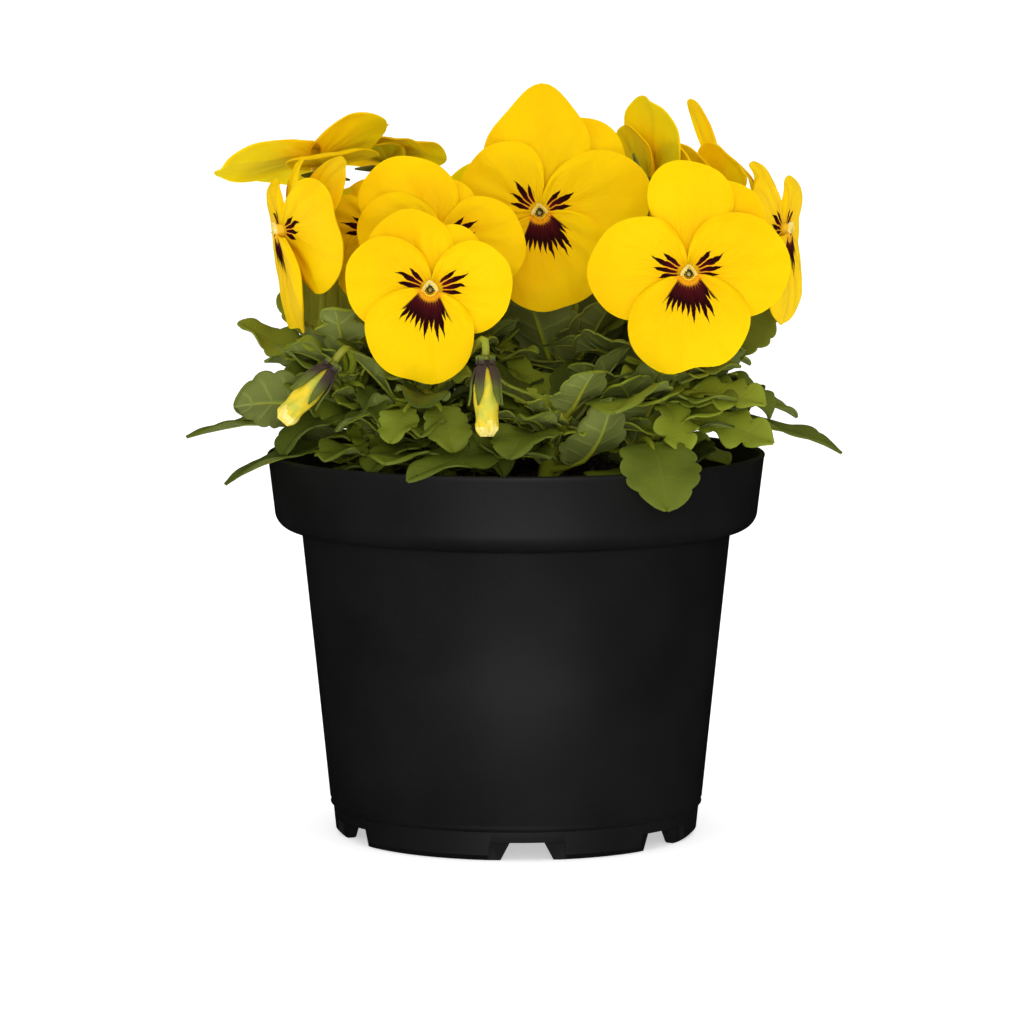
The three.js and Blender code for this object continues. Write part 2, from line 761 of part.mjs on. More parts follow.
        name: 'bloom_back_right_top', throat: [31, 9, 137],
        bearing: 116, tilt: 6, roll: 0, reach: 18, at: 0.92,
        petals: { upperLeft: { points: 92, fan: 60 }, upperRight: { points: 60, reach: 0.8 } },
      },
    ],
  },
];

// A stem stands upright in its hole in the soil, and bends outward above it.
function stemPath(stem) {
  const [x, y] = stem.base;
  const standing = [-STEM_ROOT_DEPTH, -4, 4].map((height) => new THREE.Vector3(x, y, soilTop + height));
  const foot = new THREE.Vector3(x, y, soilTop + 3);
  const top = new THREE.Vector3(...stem.top);
  const half = foot.clone().lerp(top, 0.4);
  half.z = (foot.z + top.z) / 2;
  return new THREE.CatmullRomCurve3([...standing, half, top], false, 'centripetal');
}

function stemParts(stem) {
  const path = stemPath(stem);
  const buried = STEM_ROOT_DEPTH / path.getLength();
  const pointOn = (share) => path.getPointAt(buried + (1 - buried) * share);
  const solids = [tube(path.points, STEM_RADIUS, 5, 5)];
  for (const [form, share, bearing, rise, droop, petiole, length, width, twist = 0] of stem.leaves) {
    const leaf = { root: pointOn(share), bearing, rise, droop, petiole, length, width, twist };
    solids.push(leafSolid({ ...leafForms[form], ...leaf }));
  }
  for (const bud of stem.buds || []) {
    solids.push(budStalk(bud, pointOn(bud.at)));
    for (let k = 0; k < 5; k += 1) {
      solids.push(budSepal(bud, 18 + 72 * k));
    }
  }
  const blooms = stem.blooms.map((bloom) => ({ ...bloom, throat: new THREE.Vector3(...bloom.throat) }));
  for (const bloom of blooms) {
    solids.push(...stalkSolids(bloom, pointOn(bloom.at)));
  }
  return { name: stem.name, green: largestBody(join(solids)), blooms };
}

const planter = new THREE.Group();
planter.add(meshFrom('pot', potSolid(), colours.pot));
planter.add(meshFrom('soil', soilSolid(), colours.soil));
for (const stem of stems) {
  const { name, green, blooms } = stemParts(stem);
  planter.add(meshFrom(name, green, colours.green));
  for (const bloom of blooms) {
    planter.add(meshFrom(bloom.name, bloomSolid(bloom), colours.petal));
  }
  for (const bud of stem.buds || []) {
    planter.add(meshFrom(bud.name, budSolid(bud), colours.petal));
  }
}

export default planter;
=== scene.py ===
"""A potted pansy: yellow blooms on leafy stems, in a round black nursery pot.

The script lays out the planter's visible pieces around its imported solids. Lengths are metres,
angles are degrees, +Z is up, and a bearing is seen from above: 0 is the front (-Y), 90 the right.
"""

import math
import random

import bpy
import numpy as np
from bpy.props import FloatProperty, FloatVectorProperty, IntProperty, PointerProperty
from mathutils import Matrix, Quaternion, Vector, noise


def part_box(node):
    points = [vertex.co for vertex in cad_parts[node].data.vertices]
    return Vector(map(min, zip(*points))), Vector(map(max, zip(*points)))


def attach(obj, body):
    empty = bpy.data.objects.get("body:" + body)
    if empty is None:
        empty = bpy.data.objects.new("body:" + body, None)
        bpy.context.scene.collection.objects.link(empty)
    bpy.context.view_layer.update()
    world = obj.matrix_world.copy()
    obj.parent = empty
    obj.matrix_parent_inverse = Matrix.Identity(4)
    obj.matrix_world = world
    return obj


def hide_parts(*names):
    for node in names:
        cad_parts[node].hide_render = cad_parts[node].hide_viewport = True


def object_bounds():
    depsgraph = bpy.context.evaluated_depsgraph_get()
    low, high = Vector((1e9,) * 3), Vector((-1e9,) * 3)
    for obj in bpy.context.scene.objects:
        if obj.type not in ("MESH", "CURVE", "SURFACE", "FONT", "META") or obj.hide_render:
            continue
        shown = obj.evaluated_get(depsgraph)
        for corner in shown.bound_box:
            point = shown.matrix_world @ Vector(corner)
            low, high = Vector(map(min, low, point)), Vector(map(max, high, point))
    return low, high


bl_info = {
    "name": "Potted Pansy",
    "version": (1, 0, 0),
    "blender": (4, 5, 0),
    "location": "View3D > Sidebar > Pansy",
    "description": "Makes the pot, soil, leafy stems and blooms of a potted pansy",
    "category": "Add Mesh",
}

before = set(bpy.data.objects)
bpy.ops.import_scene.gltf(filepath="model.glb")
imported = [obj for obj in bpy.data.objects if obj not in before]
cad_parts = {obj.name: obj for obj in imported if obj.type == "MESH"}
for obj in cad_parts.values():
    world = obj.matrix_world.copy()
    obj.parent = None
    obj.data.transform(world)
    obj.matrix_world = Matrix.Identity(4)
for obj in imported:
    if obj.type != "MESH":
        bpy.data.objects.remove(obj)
CAD_BOX = [list(corner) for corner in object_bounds()]
POT_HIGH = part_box("pot")[1]
UP = Vector((0, 0, 1))
MARKS = "marks"
MILLIMETRES = 1000

# How far parts of the pot stand inside the outside radius of its rim.
FOOT_INSET = 0.015
BODY_FOOT_INSET = 0.013
BODY_TOP_INSET = 0.0072
CORNER_INSET = 0.0055
SOIL_INSET = 0.0024

# The round corner under the collar, and the rounding of the rim.
CORNER_RISE = 0.004
OUTER_CORNER = 0.004
INNER_CORNER = 0.0029
RIM_ROUNDING = 0.0005

# A foot notch is a wide shallow opening and a narrow deep one: (half widths below and above, depth).
NOTCHES = (((0.0083, 0.0077), 0.0011), ((0.006, 0.0034), 0.0055))
NOTCH_HEIGHTS = (-0.001, 0.0039)
NOTCH_BEARINGS = (3.5, 54.5)
DRAIN_RADIUS = 0.0032
DRAIN_PLACE = 0.72

SOIL_DEPTH = 0.007
SOIL_TOP = POT_HIGH.z - SOIL_DEPTH
SOIL_GAP = 0.0003
SOIL_RINGS = 44
SOIL_SIDES = 144
MOUND_HEIGHT = 0.0026
CRUMB_INSET = 0.005
CRUMB_SIZES = (0.0005, 0.0015)
CRUMB_ROUGHNESS = 0.45

STEM_RADIUS = 0.0015
STEM_ROOT_DEPTH = 0.012
STEM_UPRIGHT = 0.004
STALK_RADIUS = 0.0008
PETIOLE_RADIUS = 0.00075

# The relief of a leaf of the usual width; it grows and shrinks with the width. Side veins slant.
USUAL_LEAF_WIDTH = 0.016
BULGE_HEIGHT = 0.0002
GROOVE_DEPTH = 0.00025
EDGE_CURL = 0.0004
EDGE_WAVE = 0.001
VEIN_SLANT = 0.15

# Filling leaves: their sizes, the limits they keep within, and the room they leave about a bloom.
FILLING_TRIES = 36
FILLING_LENGTHS = (0.014, 0.024)
FILLING_PETIOLES = (0.003, 0.013)
FILLING_WIDTHS = {"round": 0.88, "oval": 0.68, "lance": 0.4}
FILLING_HEIGHTS = (SOIL_TOP + 0.0035, 0.118)
FILLING_REACH = 0.0555
INSIDE_RIM = POT_HIGH.x - 0.004
OVER_RIM = POT_HIGH.z + 0.003
BOX_MARGIN = 0.001
LEAST_ROOM = 0.0012
BLOOM_DEPTHS = (-0.009, 0.004)

STIPULE_LENGTHS = (0.009, 0.0145)
STIPULE_WIDTH = 0.62
STIPULE_PETIOLE = 0.0006
STIPULE_CHANCE = 0.4

# A petal starts at its claw, and its corners lie a little inside its fan. Its edge waves by (share
# of its length, waves in a turn).
PETAL_START = 0.0008
PETAL_SPREAD = 0.975
PETAL_EDGE_WAVES = ((0.022, 4), (0.007, 11))
PETAL_COLUMNS = 54
PETAL_ROWS = 16

# Sepals and their lobes: (share of the length, distance out, half width) along each.
SEPALS = 5
SEPAL_THICKNESS = 0.0004
SEPAL_LENGTH = 0.0072
SEPAL_LOBE_LENGTH = 0.0022
CALYX_BACK = 0.0052
SEPAL_PATH = ((0, 0.0002, 0.0007), (0.2, 0.0001, 0.0013), (0.55, -0.0003, 0.0013), (1, -0.0011, 0.0001))
SEPAL_LOBE = ((0, -0.0003, 0.0006), (0.5, -0.0012, 0.0009), (1, -0.0024, 0.0007))
BUD_SEPAL_PATH = (
    (-0.03, 0.0004, 0.0006), (0.08, 0.0019, 0.001), (0.25, 0.0028, 0.0011), (0.42, 0.003, 0.0008),
    (0.58, 0.0036, 0.0001),
)
BUD_SEPAL_LOBE = ((0.02, 0.0011, 0.0007), (-0.04, 0.0014, 0.0008), (-0.09, 0.0017, 0.0006))

# The bud's rolled petals: (share of the length, radius). The throat's cup: (radius, height).
BUD_RADII = (
    (0, 0), (0.04, 0.0006), (0.08, 0.0013), (0.3, 0.0025), (0.55, 0.0025), (0.72, 0.0022),
    (0.9, 0.0023), (1, 0.0011),
)
THROAT_PROFILE = (
    (0.0006, -0.0046), (0.0011, -0.0042), (0.0013, -0.003), (0.0015, -0.0012), (0.0015, 0.0003),
    (0.0014, 0.0007), (0.0011, 0.0008), (0.0009, 0.0006), (0.0008, 0), (0.0007, -0.0008),
)
HAIRS = 60

FLOOR_RADIUS = 24
CAMERA_PLACE = (-0.00087, -1.101, 0.19135)
CAMERA_PITCH = 83.61
CAMERA_LENS = 184.24


# ---------------------------------------------------------------- settings


def metres(name, description, default):
    return FloatProperty(name=name, description=description, default=default, unit="LENGTH")


def amount(name, description, default, least=0):
    return IntProperty(name=name, description=description, default=default, min=least)


def paint(name, description, default):
    return FloatVectorProperty(
        name=name, description=description, default=default, subtype="COLOR", min=0, max=1
    )


def watts(name, description, default):
    return FloatProperty(name=name, description=description, default=default, unit="POWER")


class PotSettings(bpy.types.PropertyGroup):
    """Sizes and finish of the pot and its soil."""

    rim_radius: metres("Rim radius", "Outside radius of the rim", POT_HIGH.x)
    height: metres("Height", "From the foot to the rim", POT_HIGH.z)
    collar: metres("Collar", "Height of the wide collar below the rim", 0.016)
    wall: metres("Wall", "Thickness of the pot's wall", 0.0011)
    foot: metres("Foot", "Height of the foot ring and its notches", 0.004)
    sides: amount("Sides", "Points around the pot", 192, 48)
    plastic: paint("Plastic", "Colour of the pot", (0.0042, 0.0042, 0.0045))
    crumbs: amount("Crumbs", "Loose crumbs on the soil", 420)
    peat: paint("Peat", "Colour of the soil", (0.030, 0.018, 0.010))


class LeafSettings(bpy.types.PropertyGroup):
    """Sizes and colours of the leaves and stems."""

    thickness: metres("Thickness", "Thickness of a leaf's blade", 0.0004)
    filling: amount("Filling leaves", "Small leaves added to each stem where there is room", 14)
    old: paint("Old leaf", "Colour of an old leaf's upper side", (0.046, 0.066, 0.006))
    young: paint("Young leaf", "Colour of a young leaf's upper side", (0.215, 0.255, 0.016))
    under: paint("Underside", "Colour of a leaf's lower side", (0.200, 0.235, 0.050))
    stem: paint("Stem", "Colour of the stems and stalks", (0.290, 0.350, 0.020))


class BloomSettings(bpy.types.PropertyGroup):
    """Sizes and colours of the blooms and buds."""

    thickness: metres("Thickness", "Thickness of a petal", 0.00032)
    petal: paint("Petal", "Main colour of the petals", (0.94, 0.565, 0.0006))
    # This deeper colour serves both as the fine veins and as painted shade toward each petal's base.
    shade: paint("Veins", "Deeper colour of a petal's veins and base", (0.84, 0.37, 0.0004))
    blotch: paint("Blotch", "Colour of the dark rays about the throat", (0.070, 0.004, 0.006))
    amber: paint("Amber", "Colour of the spot below the throat", (0.94, 0.36, 0.006))


class StageSettings(bpy.types.PropertyGroup):
    """Floor and light."""

    floor: paint("Floor", "Colour of the floor", (0.9, 0.9, 0.9))
    glow: FloatProperty(name="Glow", description="How much the floor shines of itself", default=0.5)
    fill: FloatProperty(name="Fill", description="Strength of the even light all round", default=0.76)
    key: watts("Key", "Power of the front light", 7.0)
    top: watts("Top", "Power of the light above", 5)


# ---------------------------------------------------------------- the plant's layout

# A stem's base is its place in the soil, and its top is where it ends. A place on the stem is a share
# of its part above the soil. A leaf is (form, place, bearing, rise, droop, petiole, length, width,
# twist), and the small filling leaves may touch close leaves. The stalk of a bud or a bloom leaves the
# stem at that place. A bud hangs from its seat and dips below the level. A bloom's throat is its
# middle; it faces its bearing, tilted up, and is rolled in its own plane. Its reach is the usual length
# of its petals, and a petal's own row changes the form of that petal.
STEMS = (
    dict(
        name="leafy_stem_front", base=(0.006, -0.027), top=(0.01, -0.037, 0.092),
        leaves=(
            ("round", 0.3, 42, -2, -84, 0.008, 0.019, 0.016, 0),
            ("oval", 0.6, -22, 45, 45, 0.004, 0.014, 0.01, 0),
            ("oval", 0.7, -80, 45, 60, 0.004, 0.012, 0.009, 0),
        ),
        close_leaves=(
            ("oval", 0.45, -56, 16, 42, 0.009, 0.027, 0.0125, -18),
            ("round", 0.5, -24, 48, 92, 0.008, 0.016, 0.014, 0),
        ),
    ),
    dict(
        name="leafy_stem_front_left", base=(-0.014, -0.021), top=(-0.02, -0.029, 0.099),
        leaves=(
            ("oval", 0.28, 38, 12, 14, 0.012, 0.023, 0.013, 0),
            ("round", 0.3, -26, 14, 24, 0.009, 0.018, 0.016, 0),
            ("oval", 0.55, -8, 25, 50, 0.007, 0.014, 0.01, 0),
        ),
        close_leaves=(
            ("round", 0.3, -48, 42, 95, 0.006, 0.017, 0.015, 0),
            ("oval", 0.14, -74, 30, 62, 0.008, 0.02, 0.0085, -10),
            ("oval", 0.46, 40, 35, 105, 0.008, 0.017, 0.0115, 0),
            ("round", 0.82, -24, 5, 60, 0.01, 0.0095, 0.009, 0),
            ("round", 0.9, 22, -4, 60, 0.01, 0.0115, 0.0105, 0),
        ),
        buds=(dict(
            name="bud_front", seat=(-0.0062, -0.045, 0.1035), bearing=10, dip=84, length=0.015, at=0.8,
        ),),
        blooms=(
            dict(
                name="bloom_front_left", throat=(-0.0173, -0.041, 0.118), bearing=-12, tilt=2, roll=0,
                reach=0.019, at=0.75,
                upper_left=dict(reach=0.93, points=112, fan=62, skew=0.3, blunt=0.4),
                upper_right=dict(reach=0.72, points=62, fan=60, blunt=0.5),
                side_left=dict(points=174, reach=0.98),
                side_right=dict(points=4, reach=0.88, blunt=0.65),
                lower=dict(points=-100, reach=1.04, skew=-0.08),
            ),
        ),
    ),
    dict(
        name="leafy_stem_left_front", base=(-0.027, -0.014), top=(-0.036, -0.02, 0.1),
        leaves=(
            ("lance", 0.3, -66, 14, 46, 0.009, 0.027, 0.01, 0),
            ("oval", 0.3, -24, 14, 26, 0.012, 0.015, 0.011, 0),
            ("round", 0.55, -72, 38, 20, 0.005, 0.016, 0.016, -45),
        ),
        close_leaves=(
            ("round", 0.45, -62, 45, 110, 0.006, 0.019, 0.016, 0),
            ("round", 0.6, -78, 20, 30, 0.008, 0.02, 0.017, 50),
            ("oval", 0.8, -70, 60, 60, 0.004, 0.015, 0.009, 20),
            ("stipule", 0.9, -8, 62, 30, 0.005, 0.017, 0.011, 0),
            ("stipule", 0.55, 30, 25, 60, 0.006, 0.016, 0.01, 0),
        ),
        buds=(dict(
            name="bud_left", seat=(-0.038, -0.032, 0.1015), bearing=-82, dip=48, length=0.015, at=0.9,
        ),),
        blooms=(
            dict(
                name="bloom_left_front", throat=(-0.029, -0.0062, 0.128), bearing=-16, tilt=8, roll=4,
                reach=0.018, at=0.8,
                upper_left=dict(points=104, reach=0.68),
                upper_right=dict(points=66, reach=0.84, fan=66),
                side_left=dict(points=186, reach=0.82, fan=80, blunt=0.5),
                side_right=dict(reach=0.6),
                lower=dict(reach=0.9),
            ),
        ),
    ),
    dict(
        name="leafy_stem_left", base=(-0.03, 0.004), top=(-0.044, 0.002, 0.101),
        leaves=(
            ("lance", 0.55, -72, -2, 12, 0.0086, 0.0266, 0.01, 0),
            ("lance", 0.3, -84, 20, 30, 0.009, 0.024, 0.01, 0),
            ("oval", 0.9, -98, 34, 10, 0.003, 0.016, 0.012, -20),
            ("oval", 0.75, -140, 20, 50, 0.005, 0.016, 0.012, 0),
        ),
        blooms=(
            dict(
                name="bloom_left", throat=(-0.0495, -0.011, 0.128), bearing=-78, tilt=-4, roll=0,
                reach=0.019, at=0.85,
                upper_left=dict(points=112, reach=0.84, lean=-8),
                upper_right=dict(points=66, reach=1.0, lean=-30),
                side_right=dict(points=-4, reach=1.22, lean=-20),
                lower=dict(points=-92, reach=1.2, lean=-8, fan=74),
            ),
            dict(
                name="bloom_left_top", throat=(-0.043, 0.017, 0.143), bearing=-152, tilt=68, roll=16,
                reach=0.019, at=0.9,
                upper_left=dict(lean=22, reach=0.95),
                upper_right=dict(lean=-3),
                side_left=dict(lean=22, reach=1.08, fan=44),
                side_right=dict(points=-14, reach=1.22, blunt=0.65),
            ),
        ),
    ),
    dict(
        name="leafy_stem_left_back", base=(-0.022, 0.022), top=(-0.033, 0.033, 0.101),
        leaves=(
            ("round", 0.3, -128, 20, 60, 0.012, 0.02, 0.016, 0),
            ("oval", 0.55, -168, 15, 45, 0.008, 0.018, 0.013, 0),
            ("oval", 0.85, -110, 20, 50, 0.005, 0.016, 0.012, 0),
        ),
        blooms=(
            dict(
                name="bloom_left_back", throat=(-0.037, 0.0455, 0.118), bearing=-142, tilt=8, roll=0,
                reach=0.018, at=0.75,
            ),
            dict(
                name="bloom_back_left_top", throat=(-0.0275, 0.0375, 0.143), bearing=172, tilt=60,
                roll=5, reach=0.013, at=0.9,
            ),
        ),
    ),
    dict(
        name="leafy_stem_back", base=(0.0, 0.029), top=(-0.002, 0.042, 0.099),
        leaves=(
            ("round", 0.3, 168, 40, 80, 0.0075, 0.0185, 0.017, 0),
            ("oval", 0.45, -160, 20, 55, 0.007, 0.017, 0.013, 0),
            ("oval", 0.8, 150, 25, 60, 0.005, 0.015, 0.011, 0),
        ),
        close_leaves=(
            ("round", 0.55, 24, 74, 20, 0.008, 0.025, 0.022, 0),
            ("round", 0.5, -36, 72, 20, 0.008, 0.025, 0.022, 0),
        ),
        buds=(dict(
            name="bud_back", seat=(0.016, 0.044, 0.112), bearing=150, dip=50, length=0.014, at=0.95,
        ),),
        blooms=(
            dict(
                name="bloom_back", throat=(-0.004, 0.05, 0.12), bearing=178, tilt=6, roll=5, reach=0.02,
                at=0.8,
            ),
        ),
    ),
    dict(
        name="leafy_stem_right_back", base=(0.022, 0.022), top=(0.033, 0.033, 0.102),
        leaves=(
            ("round", 0.3, 124, 20, 60, 0.012, 0.02, 0.016, 0),
            ("oval", 0.55, 166, 15, 45, 0.008, 0.018, 0.013, 0),
            ("oval", 0.85, 100, 20, 50, 0.005, 0.016, 0.012, 0),
        ),
        blooms=(
            dict(
                name="bloom_right_back", throat=(0.038, 0.044, 0.117), bearing=140, tilt=8, roll=0,
                reach=0.019, at=0.75,
            ),
            dict(
                name="bloom_right_top", throat=(0.043, 0.022, 0.135), bearing=128, tilt=30, roll=5,
                reach=0.015, at=0.9,
                upper_right=dict(points=65, reach=1.35, fan=26, layer=0.0016, lean=24),
                upper_left=dict(lean=-10, reach=1.16),
                side_left=dict(points=132, reach=1.1, fan=54, blunt=0.6),
            ),
        ),
    ),
    dict(
        name="leafy_stem_right", base=(0.031, 0.003), top=(0.044, 0.0, 0.102),
        leaves=(
            ("lance", 0.4, 70, 14, 42, 0.0096, 0.0274, 0.011, 0),
            ("oval", 0.6, 104, 15, 50, 0.006, 0.018, 0.012, 0),
            ("round", 0.85, 82, 52, 8, 0.004, 0.016, 0.015, 50),
            ("oval", 0.8, 60, 10, 80, 0.004, 0.014, 0.01, 0),
        ),
        blooms=(
            dict(
                name="bloom_right", throat=(0.0565, -0.008, 0.128), bearing=74, tilt=-2, roll=0,
                reach=0.019, at=0.85,
                upper_left=dict(reach=0.78, lean=-10, points=106),
                upper_right=dict(reach=0.8, lean=-22),
                side_left=dict(lean=-8, reach=1.04),
                lower=dict(reach=1.06, blunt=0.4),
            ),
        ),
    ),
    dict(
        name="leafy_stem_front_right", base=(0.023, -0.019), top=(0.032, -0.028, 0.1),
        leaves=(
            ("round", 0.32, 10, 32, 94, 0.0186, 0.02, 0.017, 0),
            ("oval", 0.6, 52, 28, 30, 0.006, 0.017, 0.012, 0),
            ("oval", 0.8, 82, 40, 40, 0.004, 0.014, 0.01, 0),
        ),
        close_leaves=(
            ("oval", 0.25, 20, 70, 40, 0.006, 0.024, 0.014, 0),
            ("round", 0.55, 60, 50, 70, 0.006, 0.017, 0.014, 20),
            ("stipule", 0.75, 62, 20, 40, 0.008, 0.017, 0.011, 30),
            ("stipule", 0.6, 76, 5, 30, 0.009, 0.018, 0.011, 45),
            ("stipule", 0.82, 14, -20, 30, 0.005, 0.015, 0.01, 0),
        ),
        blooms=(
            dict(
                name="bloom_front_right", throat=(0.035, -0.038, 0.121), bearing=2, tilt=4, roll=0,
                reach=0.021, at=0.75,
                upper_left=dict(points=86, reach=1.12, fan=38, blunt=0.26, skew=0.1),
                upper_right=dict(points=58, reach=1.02, fan=46, blunt=0.3),
                side_left=dict(points=174, blunt=0.7),
                side_right=dict(points=10, blunt=0.7),
                lower=dict(points=-87, skew=-0.06, notch=0.07),
            ),
        ),
    ),
    dict(
        name="leafy_stem_centre_left", base=(-0.008, -0.003), top=(-0.011, -0.007, 0.106),
        leaves=(
            ("oval", 0.35, 5, 30, 40, 0.01, 0.017, 0.012, 0),
            ("oval", 0.75, 48, 25, 20, 0.005, 0.015, 0.01, 0),
            ("oval", 0.8, -150, 30, 50, 0.006, 0.015, 0.011, 0),
        ),
        close_leaves=(
            ("stipule", 0.8, 62, 12, 70, 0.008, 0.018, 0.01, 25),
            ("stipule", 0.6, 20, 20, 60, 0.008, 0.017, 0.01, 0),
        ),
        blooms=(
            dict(
                name="bloom_centre_left", throat=(-0.0155, -0.025, 0.1275), bearing=-4, tilt=6, roll=4,
                reach=0.018, at=0.85,
                upper_left=dict(points=115, reach=1.12, fan=62, skew=0.35, blunt=0.4),
                upper_right=dict(points=72, reach=0.7, fan=60),
                side_right=dict(points=2, skew=-0.15),
                lower=dict(reach=0.7),
            ),
        ),
    ),
    dict(
        name="leafy_stem_centre", base=(0.009, 0.005), top=(0.01, 0.007, 0.108),
        leaves=(
            ("round", 0.55, 38, 55, 10, 0.007, 0.02, 0.017, 0),
            ("oval", 0.35, 10, 50, 40, 0.008, 0.018, 0.013, 0),
            ("oval", 0.8, 150, 40, 50, 0.005, 0.016, 0.012, 0),
        ),
        close_leaves=(
            ("round", 0.52, -28, 66, 22, 0.008, 0.024, 0.02, 0),
            ("round", 0.6, 74, 60, 20, 0.008, 0.023, 0.019, 30),
            ("round", 0.35, -70, 60, 25, 0.008, 0.025, 0.02, -30),
        ),
        blooms=(
            dict(
                name="bloom_centre", throat=(0.0048, -0.012, 0.132), bearing=4, tilt=6, roll=6,
                reach=0.021, at=0.85,
                upper_left=dict(points=91, reach=1.1, fan=66, skew=-0.14, blunt=0.5, peak=0.155),
                upper_right=dict(points=43, reach=1.1, fan=48, blunt=0.34),
                side_left=dict(points=142, reach=0.86, fan=70, blunt=0.34),
                side_right=dict(points=4, reach=1.13, fan=74, blunt=0.85),
                lower=dict(points=-82),
            ),
            dict(
                name="bloom_back_right_top", throat=(0.031, 0.009, 0.137), bearing=116, tilt=6, roll=0,
                reach=0.018, at=0.92,
                upper_left=dict(points=113, reach=1.12, fan=80, blunt=0.5),
                upper_right=dict(points=60, reach=0.8),
            ),
        ),
    ),
)

# The five petals of a bloom: the way each points in the bloom's plane (0 right, 90 up), its length
# as a share of the bloom's reach, half the angle of its fan, how blunt it is, how far it stands in
# front of the throat, and how far its tip curls forward. A petal can also lean forward out of the
# plane, have its longest part off the middle (skew), and have a peak or a notch at its middle.
PETALS = {
    "upper_right": dict(points=68, reach=1.04, fan=78, blunt=0.72, layer=-0.0031, curl=-0.0012),
    "upper_left": dict(points=104, reach=1.08, fan=78, blunt=0.72, layer=-0.0019, curl=-0.0012),
    "side_left": dict(points=172, reach=0.96, fan=84, blunt=0.8, layer=-0.0007, curl=-0.0002),
    "side_right": dict(points=8, reach=0.98, fan=84, blunt=0.8, layer=-0.0007, curl=-0.0002),
    "lower": dict(points=-88, reach=1, fan=84, blunt=0.52, layer=0.0005, curl=0.0006, notch=0.06),
}

# The lower leaves are round and blunt, the others oval, or long and narrow. A stipule is the
# deeply cut leaflet at the foot of a leaf. Each form has its teeth and their depth as a share of the
# half width, where it is widest and how full it is there, the angle at which its halves fold up, the
# height of its wavy edge, and its side veins.
LEAVES = {
    "round": dict(teeth=5, depth=0.13, shoulder=0.9, fullness=0.52, fold=10, wave=2, veins=5),
    "oval": dict(teeth=4, depth=0.16, shoulder=0.82, fullness=0.62, fold=12, wave=3, veins=4),
    "lance": dict(teeth=4, depth=0.18, shoulder=0.8, fullness=0.8, fold=14, wave=2, veins=6),
    "stipule": dict(teeth=3, depth=0.6, shoulder=0.95, fullness=0.6, fold=12, wave=3, veins=3),
}


# ---------------------------------------------------------------- directions and routes


def ahead(bearing):
    """The level direction of a bearing."""
    angle = math.radians(bearing)
    return Vector((math.sin(angle), -math.cos(angle), 0))


def beside(bearing):
    """The level direction to the right-hand side of a bearing."""
    angle = math.radians(bearing)
    return Vector((math.cos(angle), math.sin(angle), 0))


class Route:
    """A smooth centripetal curve through points, sampled evenly along its length."""

    SAMPLES = 60

    def __init__(self, points):
        points = [Vector(point) for point in points]
        self.points = [points[0] * 2 - points[1], *points, points[-1] * 2 - points[-2]]
        self.samples = []
        for k in range(len(points) - 1):
            for step in range(self.SAMPLES):
                self.samples.append(self.between(k, step / self.SAMPLES))
        self.samples.append(points[-1])
        self.lengths = [0.0]
        for here, there in zip(self.samples, self.samples[1:]):
            self.lengths.append(self.lengths[-1] + (there - here).length)

    def between(self, k, share):
        p0, p1, p2, p3 = self.points[k : k + 4]
        d0, d1, d2 = (math.sqrt((b - a).length) for a, b in ((p0, p1), (p1, p2), (p2, p3)))
        t1 = ((p1 - p0) / d0 - (p2 - p0) / (d0 + d1) + (p2 - p1) / d1) * d1
        t2 = ((p2 - p1) / d1 - (p3 - p1) / (d1 + d2) + (p3 - p2) / d2) * d1
        s2, s3 = share * share, share**3
        return (
            p1 * (2 * s3 - 3 * s2 + 1) + t1 * (s3 - 2 * s2 + share)
            + p2 * (3 * s2 - 2 * s3) + t2 * (s3 - s2)
        )

    @property
    def length(self):
        return self.lengths[-1]

    def at(self, share):
        """The point at a share of the route's length."""
        wanted = min(max(share, 0), 1) * self.length
        k = int(np.searchsorted(self.lengths, wanted))
        return self.samples[min(k, len(self.samples) - 1)].copy()

    def run(self, steps, radius_at):
        """Evenly spaced (point, radius) pairs for a tube."""
        return [(self.at(k / steps), radius_at(k / steps)) for k in range(steps + 1)]


# ---------------------------------------------------------------- tools for making a piece


def deselect_all():
    if bpy.context.object and bpy.context.object.mode != "OBJECT":
        bpy.ops.object.mode_set(mode="OBJECT")
    bpy.ops.object.select_all(action="DESELECT")


def activate(piece):
    deselect_all()
    piece.select_set(True)
    bpy.context.view_layer.objects.active = piece


def fresh(operator, **values):
    """The object that an operator adds, with nothing else selected."""
    deselect_all()
    operator(**values)
    return bpy.context.object


def face_outward():
    """Turns the faces of the piece that is being edited outward, and ends the editing."""
    bpy.ops.mesh.select_all(action="SELECT")
    bpy.ops.mesh.normals_make_consistent(inside=False)
    bpy.ops.object.mode_set(mode="OBJECT")


def join(name, pieces):
    """Joins pieces into one object of that name, and keeps each piece's materials."""
    activate(pieces[0])
    for piece in pieces[1:]:
        piece.select_set(True)
    if len(pieces) > 1:
        bpy.ops.object.join()
    whole = bpy.context.object
    whole.name = name
    whole.data.name = name
    return whole


def copy_of(piece, matrix):
    """A copy of a piece with a mesh of its own, moved by the matrix."""
    copy = piece.copy()
    copy.data = piece.data.copy()
    copy.data.transform(matrix)
    bpy.context.collection.objects.link(copy)
    return copy


def apply_modifier(piece, kind, **values):
    """Adds one modifier to a piece with the values given, and applies it."""
    activate(piece)
    modifier = piece.modifiers.new(kind.title(), kind)
    for key, value in values.items():
        setattr(modifier, key, value)
    bpy.ops.object.modifier_apply(modifier=modifier.name)


def sheet(columns, rows, place):
    """A grid primitive whose points are moved to place(u, v), with u and v from 0 to 1.

    place gives the point and its marks, three numbers that the materials read.
    """
    piece = fresh(bpy.ops.mesh.primitive_grid_add, x_subdivisions=columns, y_subdivisions=rows, size=1)
    marks = piece.data.attributes.new(MARKS, "FLOAT_VECTOR", "POINT")
    for vertex in piece.data.vertices:
        point, mark = place(vertex.co.x + 0.5, vertex.co.y + 0.5)
        vertex.co = point
        marks.data[vertex.index].vector = mark
    return piece


